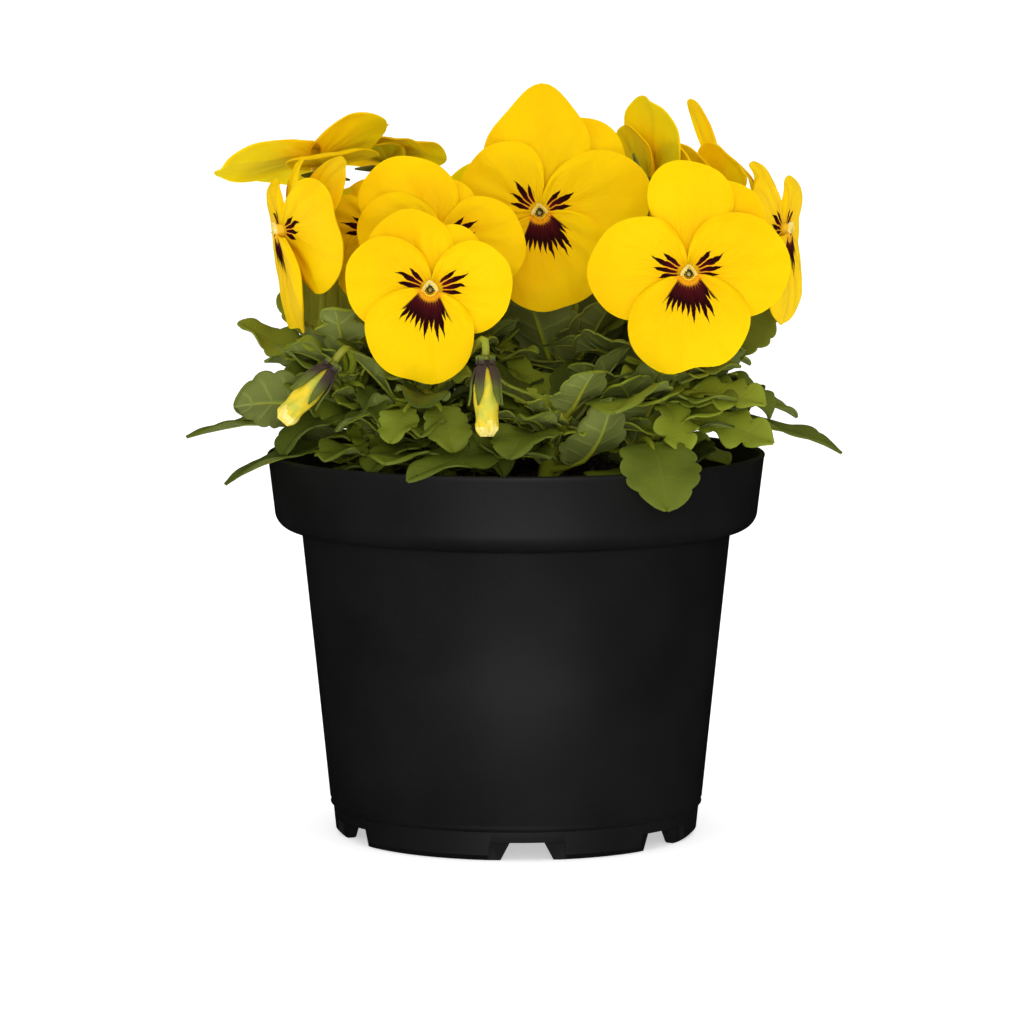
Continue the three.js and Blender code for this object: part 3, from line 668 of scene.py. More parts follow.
def thicken(piece, thickness, under=0):
    """Gives sheets their thickness; the under side takes the material that many slots on."""
    apply_modifier(
        piece, "SOLIDIFY", thickness=thickness, offset=0, use_even_offset=False,
        material_offset=under, material_offset_rim=0,
    )


def tubes(runs, roundness):
    """Round tubes, each along a list of (point, radius) pairs."""
    curve = fresh(bpy.ops.curve.primitive_bezier_curve_add)
    curve.data.splines.clear()
    curve.data.dimensions = "3D"
    curve.data.bevel_depth = 1
    curve.data.bevel_resolution = roundness
    curve.data.use_fill_caps = True
    for run in runs:
        spline = curve.data.splines.new("POLY")
        spline.points.add(len(run) - 1)
        for knot, (point, radius) in zip(spline.points, run):
            knot.co = (*point, 1)
            knot.radius = radius
    bpy.ops.object.convert(target="MESH")
    return bpy.context.object


def turned(profile, sides):
    """A closed turned body: a filled disc whose edge is extruded and scaled ring by ring.

    profile is a list of (radius, height) from the first disc to the last one.
    """
    radius, height = profile[0]
    piece = fresh(bpy.ops.mesh.primitive_circle_add, vertices=sides, radius=radius, fill_type="NGON")
    for vertex in piece.data.vertices:
        vertex.co.z = height
    bpy.ops.object.mode_set(mode="EDIT")
    bpy.ops.mesh.select_mode(type="EDGE")
    for next_radius, next_height in profile[1:]:
        scale = next_radius / radius
        bpy.ops.mesh.extrude_edges_move(
            TRANSFORM_OT_translate={"value": (0, 0, next_height - height)}
        )
        bpy.ops.transform.resize(value=(scale, scale, 1))
        radius, height = next_radius, next_height
    bpy.ops.mesh.edge_face_add()
    face_outward()
    return piece


def cut(piece, cutters):
    """Cuts each closed mesh in cutters out of a piece, and removes them."""
    cutter = join("cutter", cutters)
    apply_modifier(piece, "BOOLEAN", operation="DIFFERENCE", solver="EXACT", object=cutter, use_self=True)
    bpy.data.objects.remove(cutter)


def smooth(piece, degrees):
    activate(piece)
    bpy.ops.object.shade_smooth_by_angle(angle=math.radians(degrees))


def dress(piece, *names):
    """Sets a piece's material slots to the materials of these names."""
    piece.data.materials.clear()
    for name in names:
        piece.data.materials.append(bpy.data.materials[name])


def finish_piece(piece, node):
    """Lets a finished piece ride on the planter's one body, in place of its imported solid."""
    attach(piece, "root")
    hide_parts(node)


# ---------------------------------------------------------------- tools for materials


def plug(tree, socket, value):
    """Links a wire into a socket, or sets a plain value on it."""
    if isinstance(value, Wire):
        tree.links.new(value.socket, socket)
    else:
        socket.default_value = value


def add(tree, kind, inputs=None, **settings):
    """Adds a node with its settings, and fills its inputs by name or number."""
    node = tree.nodes.new(kind)
    for key, value in settings.items():
        setattr(node, key, value)
    for key, value in (inputs or {}).items():
        plug(tree, node.inputs[key], value)
    return node


def reckon(operation, *values):
    """A wire that carries the result of one operation; the first wire's tree gets the node."""
    tree = next(value.socket.id_data for value in values if isinstance(value, Wire))
    return Wire(add(tree, "ShaderNodeMath", dict(enumerate(values)), operation=operation).outputs[0])


class Wire:
    """What flows out of a node's socket. Sums and products of wires are wires too."""

    def __init__(self, socket):
        self.socket = socket

    def __add__(self, other):
        return reckon("ADD", self, other)

    def __sub__(self, other):
        return reckon("SUBTRACT", self, other)

    def __rsub__(self, other):
        return reckon("SUBTRACT", other, self)

    def __mul__(self, other):
        return reckon("MULTIPLY", self, other)

    def __truediv__(self, other):
        return reckon("DIVIDE", self, other)

    def __pow__(self, other):
        return reckon("POWER", self, other)

    def __abs__(self):
        return reckon("ABSOLUTE", self)

    def fade(self, start, end):
        """Runs smoothly from 0, where this wire is start, to 1, where it is end."""
        inputs = {"Value": self, "From Min": start, "From Max": end}
        kind = "ShaderNodeMapRange"
        return Wire(add(self.socket.id_data, kind, inputs, interpolation_type="SMOOTHSTEP").outputs[0])

    def blend(self, first, second):
        """Mixes two colours: the first where this wire is 0, and the second where it is 1."""
        return mix(self.socket.id_data, self, first, second)


def mix(tree, share, first, second):
    """A colour that has this share of the second one in it."""
    inputs = {0: share, 6: first, 7: second}
    return Wire(add(tree, "ShaderNodeMix", inputs, data_type="RGBA").outputs[2])


def marks_of(tree):
    """The three marks that a sheet's points carry."""
    marks = Wire(add(tree, "ShaderNodeAttribute", attribute_name=MARKS).outputs["Vector"])
    return [Wire(part) for part in add(tree, "ShaderNodeSeparateXYZ", {0: marks}).outputs]


def clouds(tree, scale, detail=3):
    """Soft noise from 0 to 1 that stays with the object."""
    place = Wire(add(tree, "ShaderNodeTexCoord").outputs["Object"])
    inputs = {"Vector": place, "Scale": scale, "Detail": detail}
    return Wire(add(tree, "ShaderNodeTexNoise", inputs).outputs["Fac"])


def open_group(name, **inputs):
    """A new node group, and its inputs as wires. A plain number or a colour gives each default."""
    group = bpy.data.node_groups.new(name, "ShaderNodeTree")
    titles = [key.replace("_", " ") for key in inputs]
    for title, default in zip(titles, inputs.values()):
        kind = "NodeSocketColor" if isinstance(default, tuple) else "NodeSocketFloat"
        group.interface.new_socket(title, in_out="INPUT", socket_type=kind).default_value = default
    entry = group.nodes.new("NodeGroupInput").outputs
    return group, *(Wire(entry[title]) for title in titles)


def close_group(group, **outputs):
    """Gives a node group its outputs. Color is a colour, and the others are numbers."""
    for title in outputs:
        kind = "NodeSocketColor" if title == "Color" else "NodeSocketFloat"
        group.interface.new_socket(title, in_out="OUTPUT", socket_type=kind)
    end = group.nodes.new("NodeGroupOutput")
    for title, wire in outputs.items():
        plug(group, end.inputs[title], wire)


def use_group(tree, name, **values):
    """Places a node group in a tree, and gives its outputs as wires by name."""
    node = add(tree, "ShaderNodeGroup", node_tree=bpy.data.node_groups[name])
    for key, value in values.items():
        plug(tree, node.inputs[key.replace("_", " ")], value)
    return {output.name: Wire(output) for output in node.outputs}


def new_material(name, **constants):
    """A material whose Principled shader has constants on its own sockets. Gives its node tree."""
    material = bpy.data.materials.new(name)
    material.use_nodes = True
    shader = material.node_tree.nodes["Principled BSDF"]
    for key, value in constants.items():
        shader.inputs[key.replace("_", " ")].default_value = value
    return material.node_tree


def surface(tree, tone, roughness, height, depth):
    """Gives a material its colour, its roughness, and a fine relief of that depth."""
    shader = tree.nodes["Principled BSDF"].inputs
    plug(tree, shader["Base Color"], tone)
    plug(tree, shader["Roughness"], roughness)
    relief = add(tree, "ShaderNodeBump", {"Height": height, "Distance": depth, "Strength": 1})
    plug(tree, shader["Normal"], Wire(relief.outputs[0]))


def tint(colour, factor=1):
    """An opaque colour, made darker or lighter by a factor."""
    return (*(min(1, part * factor) for part in colour), 1)


# ---------------------------------------------------------------- shared effects


def grain_group():
    """Fine grain: a mask of soft patches, and a height that mixes coarse and fine noise."""
    group, patch_scale, grain_scale = open_group("Grain", Patches=60, Grain=1500)
    patches = clouds(group, patch_scale, 4)
    fine = clouds(group, grain_scale, 2)
    close_group(group, Patches=patches.fade(0.35, 0.7), Height=patches * 0.4 + fine)


def vein_group():
    """A leaf's veins: masks of its rib, side veins and edge, and the height of its skin."""
    group, rib_width, vein_width = open_group("Leaf Veins", Rib_Width=0.07, Vein_Width=0.09)
    side, place, _ = marks_of(group)
    across = abs(side)
    rib = 1 - across.fade(0, rib_width)
    wobble = clouds(group, 260, 2) * 0.3 + place
    nearest = reckon("PINGPONG", wobble - 0.15, 0.5)
    side_vein = 1 - nearest.fade(0, vein_width)
    worn = 1 - across.fade(0.55, 0.95)
    veins = reckon("MAXIMUM", rib, side_vein * (worn * 0.55))
    skin = clouds(group, 2200, 2) * 0.35
    close_group(group, Veins=veins, Edge=across.fade(0.9, 1), Height=skin - veins)


def petal_group():
    """A petal's skin: its colour with fine veins that fan out and painted shade that deepens it toward the
    throat, and the height of its creases.
    """
    group, main, veins_and_shade = open_group("Petal Skin", Main=(1, 1, 0, 1), Veined=(1, 0.5, 0, 1))
    across, along, share = marks_of(group)
    fan = reckon("ARCTAN2", across, along) + clouds(group, 160, 2) * 0.35
    fine = reckon("SINE", fan * 70)
    broad = reckon("SINE", fan * 17)
    # Painted shade: the colour deepens toward the throat, where the petals overlap and lie in shade.
    painted_base_shade = 1 - share.fade(0.05, 0.8)
    patches = clouds(group, 55, 2).fade(0.35, 0.7)
    streaks = (fine * 0.5 + 0.5) * painted_base_shade
    depth = streaks * 0.22 + painted_base_shade * 0.16 + patches * 0.3
    skin = clouds(group, 900) * 0.4
    folds = broad * 0.6 + streaks * 0.25
    close_group(group, Color=depth.blend(main, veins_and_shade), Height=folds + skin)


def ray_group():
    """Dark rays below or beside the throat, and the amber spot within them.

    Distances are in millimetres. The rays fan out from a point that lies Rise above the throat.
    """
    group, rays, fan, turn, rise, start, end, filling, spot = open_group(
        "Throat Rays", Rays=12, Fan=0.6, Turn=0, Rise=2.4, Start=2.7, End=9.3, Filling=0.56, Spot=2.9
    )
    across, along, _ = marks_of(group)
    distance = reckon("SQRT", across**2 + along**2)
    waver = clouds(group, 420) - 0.5
    outward = (reckon("ARCTAN2", across, along + rise) - turn) / fan
    place = waver * 0.9 + outward * rays * 0.5
    number = {"W": reckon("FLOOR", place)}
    dice = add(group, "ShaderNodeTexWhiteNoise", number, noise_dimensions="1D")
    chance = Wire(dice.outputs["Value"])
    middle = abs(reckon("FRACT", place) - 0.5)
    outward = abs(outward)
    reach = chance * 0.3 + 0.74 - outward**2 * 0.16
    run = (distance - start) / (end * reach - start)
    taper = 1 - run.fade(0.35, 1)
    swelling = run.fade(-0.1, 0.5) * 0.3 + 0.7
    inside = (taper * swelling * filling - middle).fade(0, 0.06)
    begun = run.fade(-0.03, 0.07)
    in_fan = 1 - outward.fade(0.94, 1.04)
    edge = spot * (waver * 0.5 + 1)
    between = run.fade(0.7, 0.2) * outward.fade(1, 0.7)
    near = (edge - distance).fade(-0.9, 0.4)
    close_group(
        group, Rays=inside * begun * in_fan, Depth=run.fade(0, 0.6),
        Spot=reckon("MAXIMUM", near, between * begun),
    )


# ---------------------------------------------------------------- the materials


def plastic_material(pot):
    """Satin black plastic with a fine moulded grain."""
    tree = new_material("satin_plastic", Specular_IOR_Level=0.95)
    grain = use_group(tree, "Grain", Patches=45, Grain=2600)
    tone = grain["Patches"].blend(tint(pot.plastic), tint(pot.plastic, 1.35))
    surface(tree, tone, grain["Patches"] * 0.05 + 0.6, grain["Height"], 0.00002)


def soil_material(pot, name, brightness):
    """Dark damp peat in small crumbs."""
    tree = new_material(name)
    grain = use_group(tree, "Grain", Patches=240, Grain=1300)
    tone = grain["Patches"].blend(tint(pot.peat, 0.35 * brightness), tint(pot.peat, 1.5 * brightness))
    surface(tree, tone, grain["Patches"] * 0.2 + 0.75, grain["Height"], 0.0008)


def leaf_material(leaf):
    """The upper side: deep green to fresh green, with paler sunken veins and edge."""
    tree = new_material("leaf_top", Specular_IOR_Level=0.16)
    veins = use_group(tree, "Leaf Veins")
    age = marks_of(tree)[2]
    patches = clouds(tree, 90, 4)
    flesh = (patches * 0.5 + (age - 0.25)).fade(0, 1).blend(tint(leaf.old), tint(leaf.young))
    pale = mix(tree, 0.55, flesh, tint(leaf.under))
    flesh = (veins["Veins"] * 0.2).blend(flesh, pale)
    flesh = (veins["Edge"] * 0.15).blend(flesh, pale)
    surface(tree, flesh, patches * 0.2 + 0.42, veins["Height"], 0.00007)


def leaf_under_material(leaf):
    """The lower side: a dull pale green with raised veins."""
    tree = new_material("leaf_under", Specular_IOR_Level=0.15)
    veins = use_group(tree, "Leaf Veins", Rib_Width=0.1, Vein_Width=0.14)
    patches = clouds(tree, 120)
    flesh = patches.blend(tint(leaf.under, 0.72), tint(leaf.under))
    flesh = veins["Veins"].blend(flesh, tint(leaf.under, 1.35))
    surface(tree, flesh, patches * 0.15 + 0.55, veins["Height"] * -1, 0.00012)


def stem_material(leaf):
    """Smooth light green stems, with a blush of brown here and there."""
    tree = new_material("stem_green", Specular_IOR_Level=0.45)
    grain = use_group(tree, "Grain", Patches=70, Grain=1800)
    browner = [part * share for part, share in zip(leaf.stem, (0.9, 0.55, 0.7))]
    tone = (grain["Patches"] * 0.5).blend(tint(leaf.stem), tint(browner))
    surface(tree, tone, grain["Patches"] * 0.1 + 0.38, grain["Height"], 0.00005)


def sepal_material(leaf):
    """Sepals: fresh green, purple-brown toward their base."""
    tree = new_material("sepal", Specular_IOR_Level=0.4)
    side, place, brownness = marks_of(tree)
    patches = clouds(tree, 240)
    flesh = patches.blend(tint(leaf.old), tint(leaf.young))
    base = 1 - (patches * 0.3 + place).fade(0.35, 0.95)
    flesh = (base * brownness).blend(flesh, tint((0.050, 0.022, 0.030)))
    ribs = reckon("PINGPONG", side * 2.5, 0.5)
    surface(tree, flesh, patches * 0.15 + 0.45, ribs, 0.0001)


def petal_material(bloom, name, **rays):
    """Velvety yellow. Where rays are given, they spread from the throat over an amber spot."""
    tree = new_material(
        name, Specular_IOR_Level=0.04, Subsurface_Weight=0.4,
        Subsurface_Radius=(1, 0.65, 0.05), Subsurface_Scale=0.0012,
    )
    skin = use_group(tree, "Petal Skin", Main=tint(bloom.petal), Veined=tint(bloom.shade))
    tone = skin["Color"]
    if rays:
        masks = use_group(tree, "Throat Rays", **rays)
        tone = masks["Spot"].blend(tone, tint(bloom.amber))
        dark = masks["Depth"].blend(tint(bloom.blotch), tint(bloom.blotch, 0.25))
        tone = masks["Rays"].blend(tone, dark)
    surface(tree, tone, clouds(tree, 500) * 0.12 + 0.5, skin["Height"], 0.0002)


def petal_back_material(bloom):
    """The back of a petal: paler and duller than its face, with stronger veins, and brightened further as
    painted light.
    """
    tree = new_material(
        "petal_back", Specular_IOR_Level=0.06, Subsurface_Weight=0.75,
        Subsurface_Radius=(1, 0.75, 0.05), Subsurface_Scale=0.002,
    )
    # Partly painted light: the back is paler by nature, and its colour is lifted further to stand in for
    # light shining through the petals.
    paler_and_painted_light = [part * 0.7 + pale * 0.3 for part, pale in zip(bloom.petal, (1.1, 0.82, 0.01))]
    skin = use_group(tree, "Petal Skin", Main=tint(paler_and_painted_light), Veined=tint(bloom.shade))
    surface(tree, skin["Color"], clouds(tree, 500) * 0.1 + 0.6, skin["Height"], 0.00012)


def plain_flower_material(name, light, dark, scale):
    """Small soft parts of a flower, mottled from light to dark."""
    tree = new_material(name, Specular_IOR_Level=0.3)
    mottle = clouds(tree, scale)
    tone = mottle.fade(0.35, 0.65).blend(tint(dark), tint(light))
    surface(tree, tone, mottle * 0.2 + 0.5, mottle, 0.0001)


def make_materials(settings):
    """Makes the shared effects, then every material by name."""
    pot, leaf, bloom = settings.pot, settings.leaf, settings.bloom
    for build in (grain_group, vein_group, petal_group, ray_group):
        build()
    plastic_material(pot)
    soil_material(pot, "peat", 1)
    soil_material(pot, "crumb", 1.7)
    for build in (leaf_material, leaf_under_material, stem_material, sepal_material):
        build(leaf)
    petal_material(bloom, "petal_upper")
    petal_material(
        bloom, "petal_side",
        Rays=4, Fan=0.56, Turn=0.2, Rise=0, Start=2.2, End=10.2, Filling=0.46, Spot=0.4,
    )
    petal_material(
        bloom, "petal_lower",
        Rays=11, Fan=0.64, Turn=0, Rise=2, Start=2.3, End=12.2, Filling=0.66, Spot=2.5,
    )
    petal_back_material(bloom)
    plain_flower_material("throat_cup", (0.93, 0.57, 0.01), (0.92, 0.50, 0.005), 900)
    # Painted shade for the inside of the throat's mouth.
    plain_flower_material("throat_painted_shade", (0.20, 0.16, 0.03), (0.07, 0.05, 0.012), 900)
    plain_flower_material("tuft", (0.90, 0.80, 0.34), (0.88, 0.68, 0.10), 900)
    plain_flower_material("stigma", (0.42, 0.36, 0.12), (0.22, 0.18, 0.04), 900)
    plain_flower_material("bud_side", (0.84, 0.60, 0.02), (0.52, 0.52, 0.05), 300)
    plain_flower_material("bud_tip", (0.88, 0.76, 0.24), (0.85, 0.64, 0.06), 500)


# ---------------------------------------------------------------- the pot and its soil


def arc(radius, height, size, start, end, steps):
    """Points of a round corner in a profile, from one angle to another."""
    angles = [math.radians(start + (end - start) * k / steps) for k in range(steps + 1)]
    return [(radius + size * math.cos(angle), height + size * math.sin(angle)) for angle in angles]


def collar_corner(pot, size, start, steps):
    """The round corner between the collar's flat underside and its upright wall."""
    bottom = pot.height - pot.collar
    return arc(pot.rim_radius - CORNER_INSET, bottom + CORNER_RISE, size, start, 0, steps)


def inner_wall(pot, inset):
    """The pot's inner wall from its floor up to its collar, or a wall that far inside it."""
    foot = pot.rim_radius - BODY_FOOT_INSET - pot.wall - inset
    top = pot.rim_radius - BODY_TOP_INSET - pot.wall - inset
    bottom = pot.height - pot.collar
    return [
        (foot - 0.0006, pot.foot + 0.0014 + inset), (foot, pot.foot * 2), (top, bottom),
        (top + 0.0003, bottom + pot.wall + inset), *collar_corner(pot, INNER_CORNER - inset, -80, 6),
    ]


def pot_profile(pot):
    """The pot's wall, from the middle of its underside around the rim to its floor."""
    foot, body_foot = pot.rim_radius - FOOT_INSET, pot.rim_radius - BODY_FOOT_INSET
    body_top, inside = pot.rim_radius - BODY_TOP_INSET, pot.rim_radius - pot.wall
    bottom, step = pot.height - pot.collar, pot.foot * 2
    foot_ring = [
        (0.0105, pot.foot - 0.0008), (0.011, pot.foot), (foot - 0.0029, pot.foot),
        (foot - 0.0025, 0.0003), (foot - 0.0022, 0), (foot - 0.0005, 0), (foot, 0.0004),
        (foot + 0.0008, 0.0012),
    ]
    groove = [
        (body_foot - 0.0007, step * 0.76), (body_foot - 0.0003, step * 0.81),
        (body_foot - 0.0001, step * 0.84), (body_foot - 0.0004, step * 0.88),
        (body_foot - 0.0004, step * 0.92),
    ]
    body = [
        (body_foot, step), (body_foot + 0.0029, step * 0.5 + bottom * 0.5), (body_top, bottom - 0.0006),
    ]
    collar = [
        (body_top + 0.0003, bottom - 0.0001), (body_top + 0.0008, bottom),
        *collar_corner(pot, OUTER_CORNER, -82, 10), (pot.rim_radius - 0.0002, pot.height - 0.0012),
    ]
    rim = [
        *arc(pot.rim_radius - RIM_ROUNDING, pot.height - RIM_ROUNDING, RIM_ROUNDING, 0, 90, 4),
        (inside + 0.0003, pot.height), (inside, pot.height - 0.0003),
    ]
    return foot_ring + groove + body + collar + rim + inner_wall(pot, 0)[::-1]


def wedge(half_widths, start, end, bearing):
    """A closed block between two distances from the axis, with a half width below and one above."""
    block = fresh(bpy.ops.mesh.primitive_cube_add, size=2)
    for vertex in block.data.vertices:
        across, out, above = vertex.co
        upper = int(above > 0)
        distance = start if out < 0 else end
        sideways = beside(bearing) * across * half_widths[upper]
        vertex.co = ahead(bearing) * distance + sideways + UP * NOTCH_HEIGHTS[upper]
    activate(block)
    bpy.ops.object.mode_set(mode="EDIT")
    face_outward()
    return block


def drain(pot, bearing):
    """A round cutter for one drain hole in the pot's floor."""
    place = ahead(bearing) * (pot.rim_radius - FOOT_INSET) * DRAIN_PLACE
    hole = fresh(
        bpy.ops.mesh.primitive_cylinder_add, vertices=40, radius=DRAIN_RADIUS, depth=pot.foot * 2,
        location=(place.x, place.y, pot.foot),
    )
    bpy.ops.object.transform_apply(location=True)
    return hole


def make_pot(settings):
    """The moulded pot: a turned wall with three pairs of foot notches and drain holes."""
    pot = settings.pot
    body = turned(pot_profile(pot), pot.sides)
    cutters = []
    for third in range(3):
        for bearing in NOTCH_BEARINGS:
            bearing += 120 * third
            for half_widths, depth in NOTCHES:
                start = pot.rim_radius - FOOT_INSET - depth
                cutters.append(wedge(half_widths, start, pot.rim_radius, bearing))
            cutters.append(drain(pot, bearing))
    cut(body, cutters)
    apply_modifier(
        body, "BEVEL", width=0.00012, segments=2, limit_method="ANGLE", angle_limit=math.radians(50),
    )
    dress(body, "satin_plastic")
    smooth(body, 35)
    body.name = "nursery_pot"
    finish_piece(body, "pot")


def soil_height(pot, x, y):
    """A low mound that is lumpy all over."""
    share = min(math.hypot(x, y) / (pot.rim_radius - SOIL_INSET), 1)
    mound = MOUND_HEIGHT * (1 - share**1.6)
    lump = 0.0007 * math.sin(x * 700 + 1) * math.cos(y * 600)
    clods = 0.0016 * noise.noise(Vector((x, y, 0)) * 190)
    grit = 0.0007 * noise.noise(Vector((x, y, 0.3)) * 650)
    return pot.height - SOIL_DEPTH + mound + (lump + clods + grit) * min(1, (1 - share) * 9)


def make_soil(settings):
    """The soil that fills the pot up to its collar, and the loose crumbs on it."""
    pot = settings.pot
    edge, level = pot.rim_radius - SOIL_INSET, pot.height - SOIL_DEPTH
    rings = [(edge * (1 - k / SOIL_RINGS), level) for k in range(SOIL_RINGS)]
    body = turned([(0.03, pot.foot + 0.0017), *inner_wall(pot, SOIL_GAP), *rings], SOIL_SIDES)
    for vertex in body.data.vertices:
        if vertex.co.z > level - 0.0001:
            vertex.co.z = soil_height(pot, vertex.co.x, vertex.co.y)
    dress(body, "peat")
    crumbs = make_crumbs(pot)
    dress(crumbs, "crumb")
    whole = join("potting_soil", [body, crumbs])
    smooth(whole, 40)
    finish_piece(whole, "soil")


def make_crumbs(pot):
    """Loose crumbs of peat, one rough lump copied and turned at random."""
    chance = random.Random(5)
    lump = fresh(bpy.ops.mesh.primitive_ico_sphere_add, subdivisions=2, radius=1)
    for vertex in lump.data.vertices:
        vertex.co *= 1 + CRUMB_ROUGHNESS * noise.noise(vertex.co * 1.3)
    crumbs = []
    for _ in range(pot.crumbs):
        distance = (pot.rim_radius - CRUMB_INSET) * math.sqrt(chance.random())
        angle = chance.random() * math.tau
        x, y = distance * math.cos(angle), distance * math.sin(angle)
        size = chance.uniform(*CRUMB_SIZES)
        turn = Quaternion((chance.random(), chance.random(), chance.random()), chance.random() * 6)
        place = Vector((x, y, soil_height(pot, x, y) + size * 0.2))
        crumbs.append(copy_of(lump, Matrix.LocRotScale(place, turn, (size, size, size * 0.7))))
    bpy.data.objects.remove(lump)
    return join("crumbs", crumbs)


# ---------------------------------------------------------------- leaves


class Leaf:
    """A leaf: an arc from its root on the stem, with the blade folded along its rib."""

    TOOTH_RISE = 0.6
    ROWS_A_TOOTH = 7
    LEAST_HALF_WIDTHS = (0.0007, 0.0003)

    def __init__(self, row, root, tone, phase=0):
        form, _, bearing, rise, droop, petiole, length, width, twist = row
        self.form = LEAVES[form]
        self.root, self.bearing, self.tone, self.phase = root, bearing, tone, phase
        self.rise, self.droop = math.radians(rise), math.radians(droop or 0.01)
        self.petiole, self.length, self.width = petiole, length, width
        self.twist = math.radians(twist)

    def outline(self, place, side):
        """Half the blade's width at a place from its base (0) to its tip (1), with its teeth."""
        form = self.form
        widest = max(math.sin(math.pi * place ** form["shoulder"]), 0) ** form["fullness"]
        phase = (place * form["teeth"]) % 1
        rising = math.sin(phase / self.TOOTH_RISE * math.pi / 2) ** 0.7
        falling = (phase - self.TOOTH_RISE) / (1 - self.TOOTH_RISE)
        tooth = rising if falling < 0 else math.cos(falling * math.pi / 2) ** 0.7
        depth = form["depth"] * (1 - tooth) * abs(side) ** 3
        return max(self.width / 2 * widest * (1 - depth), self.LEAST_HALF_WIDTHS[int(place > 0.5)])

    def frame_at(self, distance):
        """The rib's point at a distance from the root, and the directions across and above it."""
        curve = self.droop / (self.petiole + self.length)
        slope = self.rise - curve * distance
        level = (math.sin(self.rise) - math.sin(slope)) / curve
        height = (math.cos(slope) - math.cos(self.rise)) / curve
        forward, right = ahead(self.bearing), beside(self.bearing)
        face = (forward * math.cos(slope) + UP * math.sin(slope)).cross(right)
        across = right * math.cos(self.twist) + face * math.sin(self.twist)
        above = face * math.cos(self.twist) - right * math.sin(self.twist)
        return self.root + forward * level + UP * height, across, above

    def point(self, place, side):
        """A point of the blade: side runs from -1 to 1 across it."""
        middle, across, above = self.frame_at(self.petiole + self.length * place)
        form, edge = self.form, abs(side)
        half = self.outline(place, side)
        lift = half * math.tan(math.radians(form["fold"])) * edge**1.4
        wave = EDGE_WAVE * form["wave"] * math.sin(place * 9 + side + self.phase) * half / self.width
        wave *= edge**1.5
        between = abs(math.sin(math.pi * (place - VEIN_SLANT * edge) * form["veins"]))
        size = self.width / USUAL_LEAF_WIDTH
        bulge = BULGE_HEIGHT * size * between**0.7 * edge * (1 - edge**3)
        groove = GROOVE_DEPTH * size * math.exp(-((edge / 0.2) ** 2))
        curl = EDGE_CURL * size * max(edge - 0.8, 0) / 0.2
        return middle + across * half * side + above * (lift + wave + bulge - groove - curl)

    def blade(self, columns=10):
        """The blade as a sheet, marked with its side, its place among the veins, and its tone."""

        def place(u, v):
            side = 1 - 2 * u
            vein = (v - VEIN_SLANT * abs(side)) * self.form["veins"]
            return self.point(v, side), (side, vein, self.tone)

        return sheet(columns, self.form["teeth"] * self.ROWS_A_TOOTH, place)

    def rib(self):
        """The leaf's stalk, which runs on under the blade as a tapering rib."""
        run = []
        for k in range(5):
            middle = self.frame_at(self.petiole * k / 4)[0]
            run.append((middle, PETIOLE_RADIUS * (1.15 - 0.25 * k / 4)))
        for k in range(1, 6):
            middle, _, above = self.frame_at(self.petiole + self.length * 0.17 * k)
            radius = PETIOLE_RADIUS * (0.85 - 0.14 * k) * min(1, self.width / 0.014)
            run.append((middle - above * (radius + 0.0002), radius))
        return run

    def samples(self):
        """A few points that stand for the blade when room is looked for."""
        places = [(place, side) for place in (0.1, 0.4, 0.7, 1) for side in (-0.8, 0, 0.8)]
        return [self.point(place, side) for place, side in places]


def stem_route(stem):
    """A stem stands upright in the soil and bends outward above it."""
    x, y = stem["base"]
    heights = (-STEM_ROOT_DEPTH, -STEM_UPRIGHT, STEM_UPRIGHT)
    standing = [Vector((x, y, SOIL_TOP + height)) for height in heights]
    foot = Vector((x, y, SOIL_TOP + 0.003))
    top = Vector(stem["top"])
    half = foot.lerp(top, 0.4)
    half.z = (foot.z + top.z) / 2
    return Route([*standing, half, top])


def place_on(route, share):
    """The point at a share of the stem's part above the soil."""
    buried = STEM_ROOT_DEPTH / route.length
    return route.at(buried + (1 - buried) * share)


def stipules(leaf, chance):
    """The pair of deeply cut leaflets at the foot of a leaf."""
    pair = []
    for side in (-1, 1):
        length = chance.uniform(*STIPULE_LENGTHS)
        row = (
            "stipule", 0, leaf.bearing + side * chance.uniform(38, 70), chance.uniform(35, 62),
            chance.uniform(20, 60), STIPULE_PETIOLE, length, length * STIPULE_WIDTH,
            side * chance.uniform(0, 25),
        )
        pair.append(Leaf(row, leaf.root, chance.uniform(0.9, 1.4), chance.uniform(0, 6)))
    return pair


def has_room(leaf, bloom_shapes):
    """Whether a leaf keeps clear of the pot, the soil and the blooms, and inside the CAD box."""
    low, high = (Vector(corner) for corner in CAD_BOX)
    lowest, highest = FILLING_HEIGHTS
    back, front = BLOOM_DEPTHS
    for point in leaf.samples():
        if point.z < lowest or point.z > highest:
            return False
        if math.hypot(point.x, point.y) > (INSIDE_RIM if point.z < OVER_RIM else FILLING_REACH):
            return False
        if not all(low[k] + BOX_MARGIN < point[k] < high[k] - BOX_MARGIN for k in range(3)):
            return False
        for throat, facing, reach in bloom_shapes:
            offset = point - throat
            if back < offset.dot(facing) < front and offset.length < reach:
                return False
    return True


def random_leaf(route, low, chance):
    """A small leaf of any form and bearing, from the stem's part above a low share."""
    form = chance.choice(("oval", "oval", "round", "round", "lance"))
    length = chance.uniform(*FILLING_LENGTHS)
    row = (
        form, 0, chance.uniform(-180, 180), chance.uniform(0, 60), chance.uniform(10, 70),
        chance.uniform(*FILLING_PETIOLES), length, length * FILLING_WIDTHS[form], chance.uniform(-25, 25),
    )
    tone = chance.choice((-0.3, 0.0, 0.4, 1.1)) + 0.3 * low
    return Leaf(row, place_on(route, low + 0.2 * chance.random()), tone, chance.uniform(0, 6))


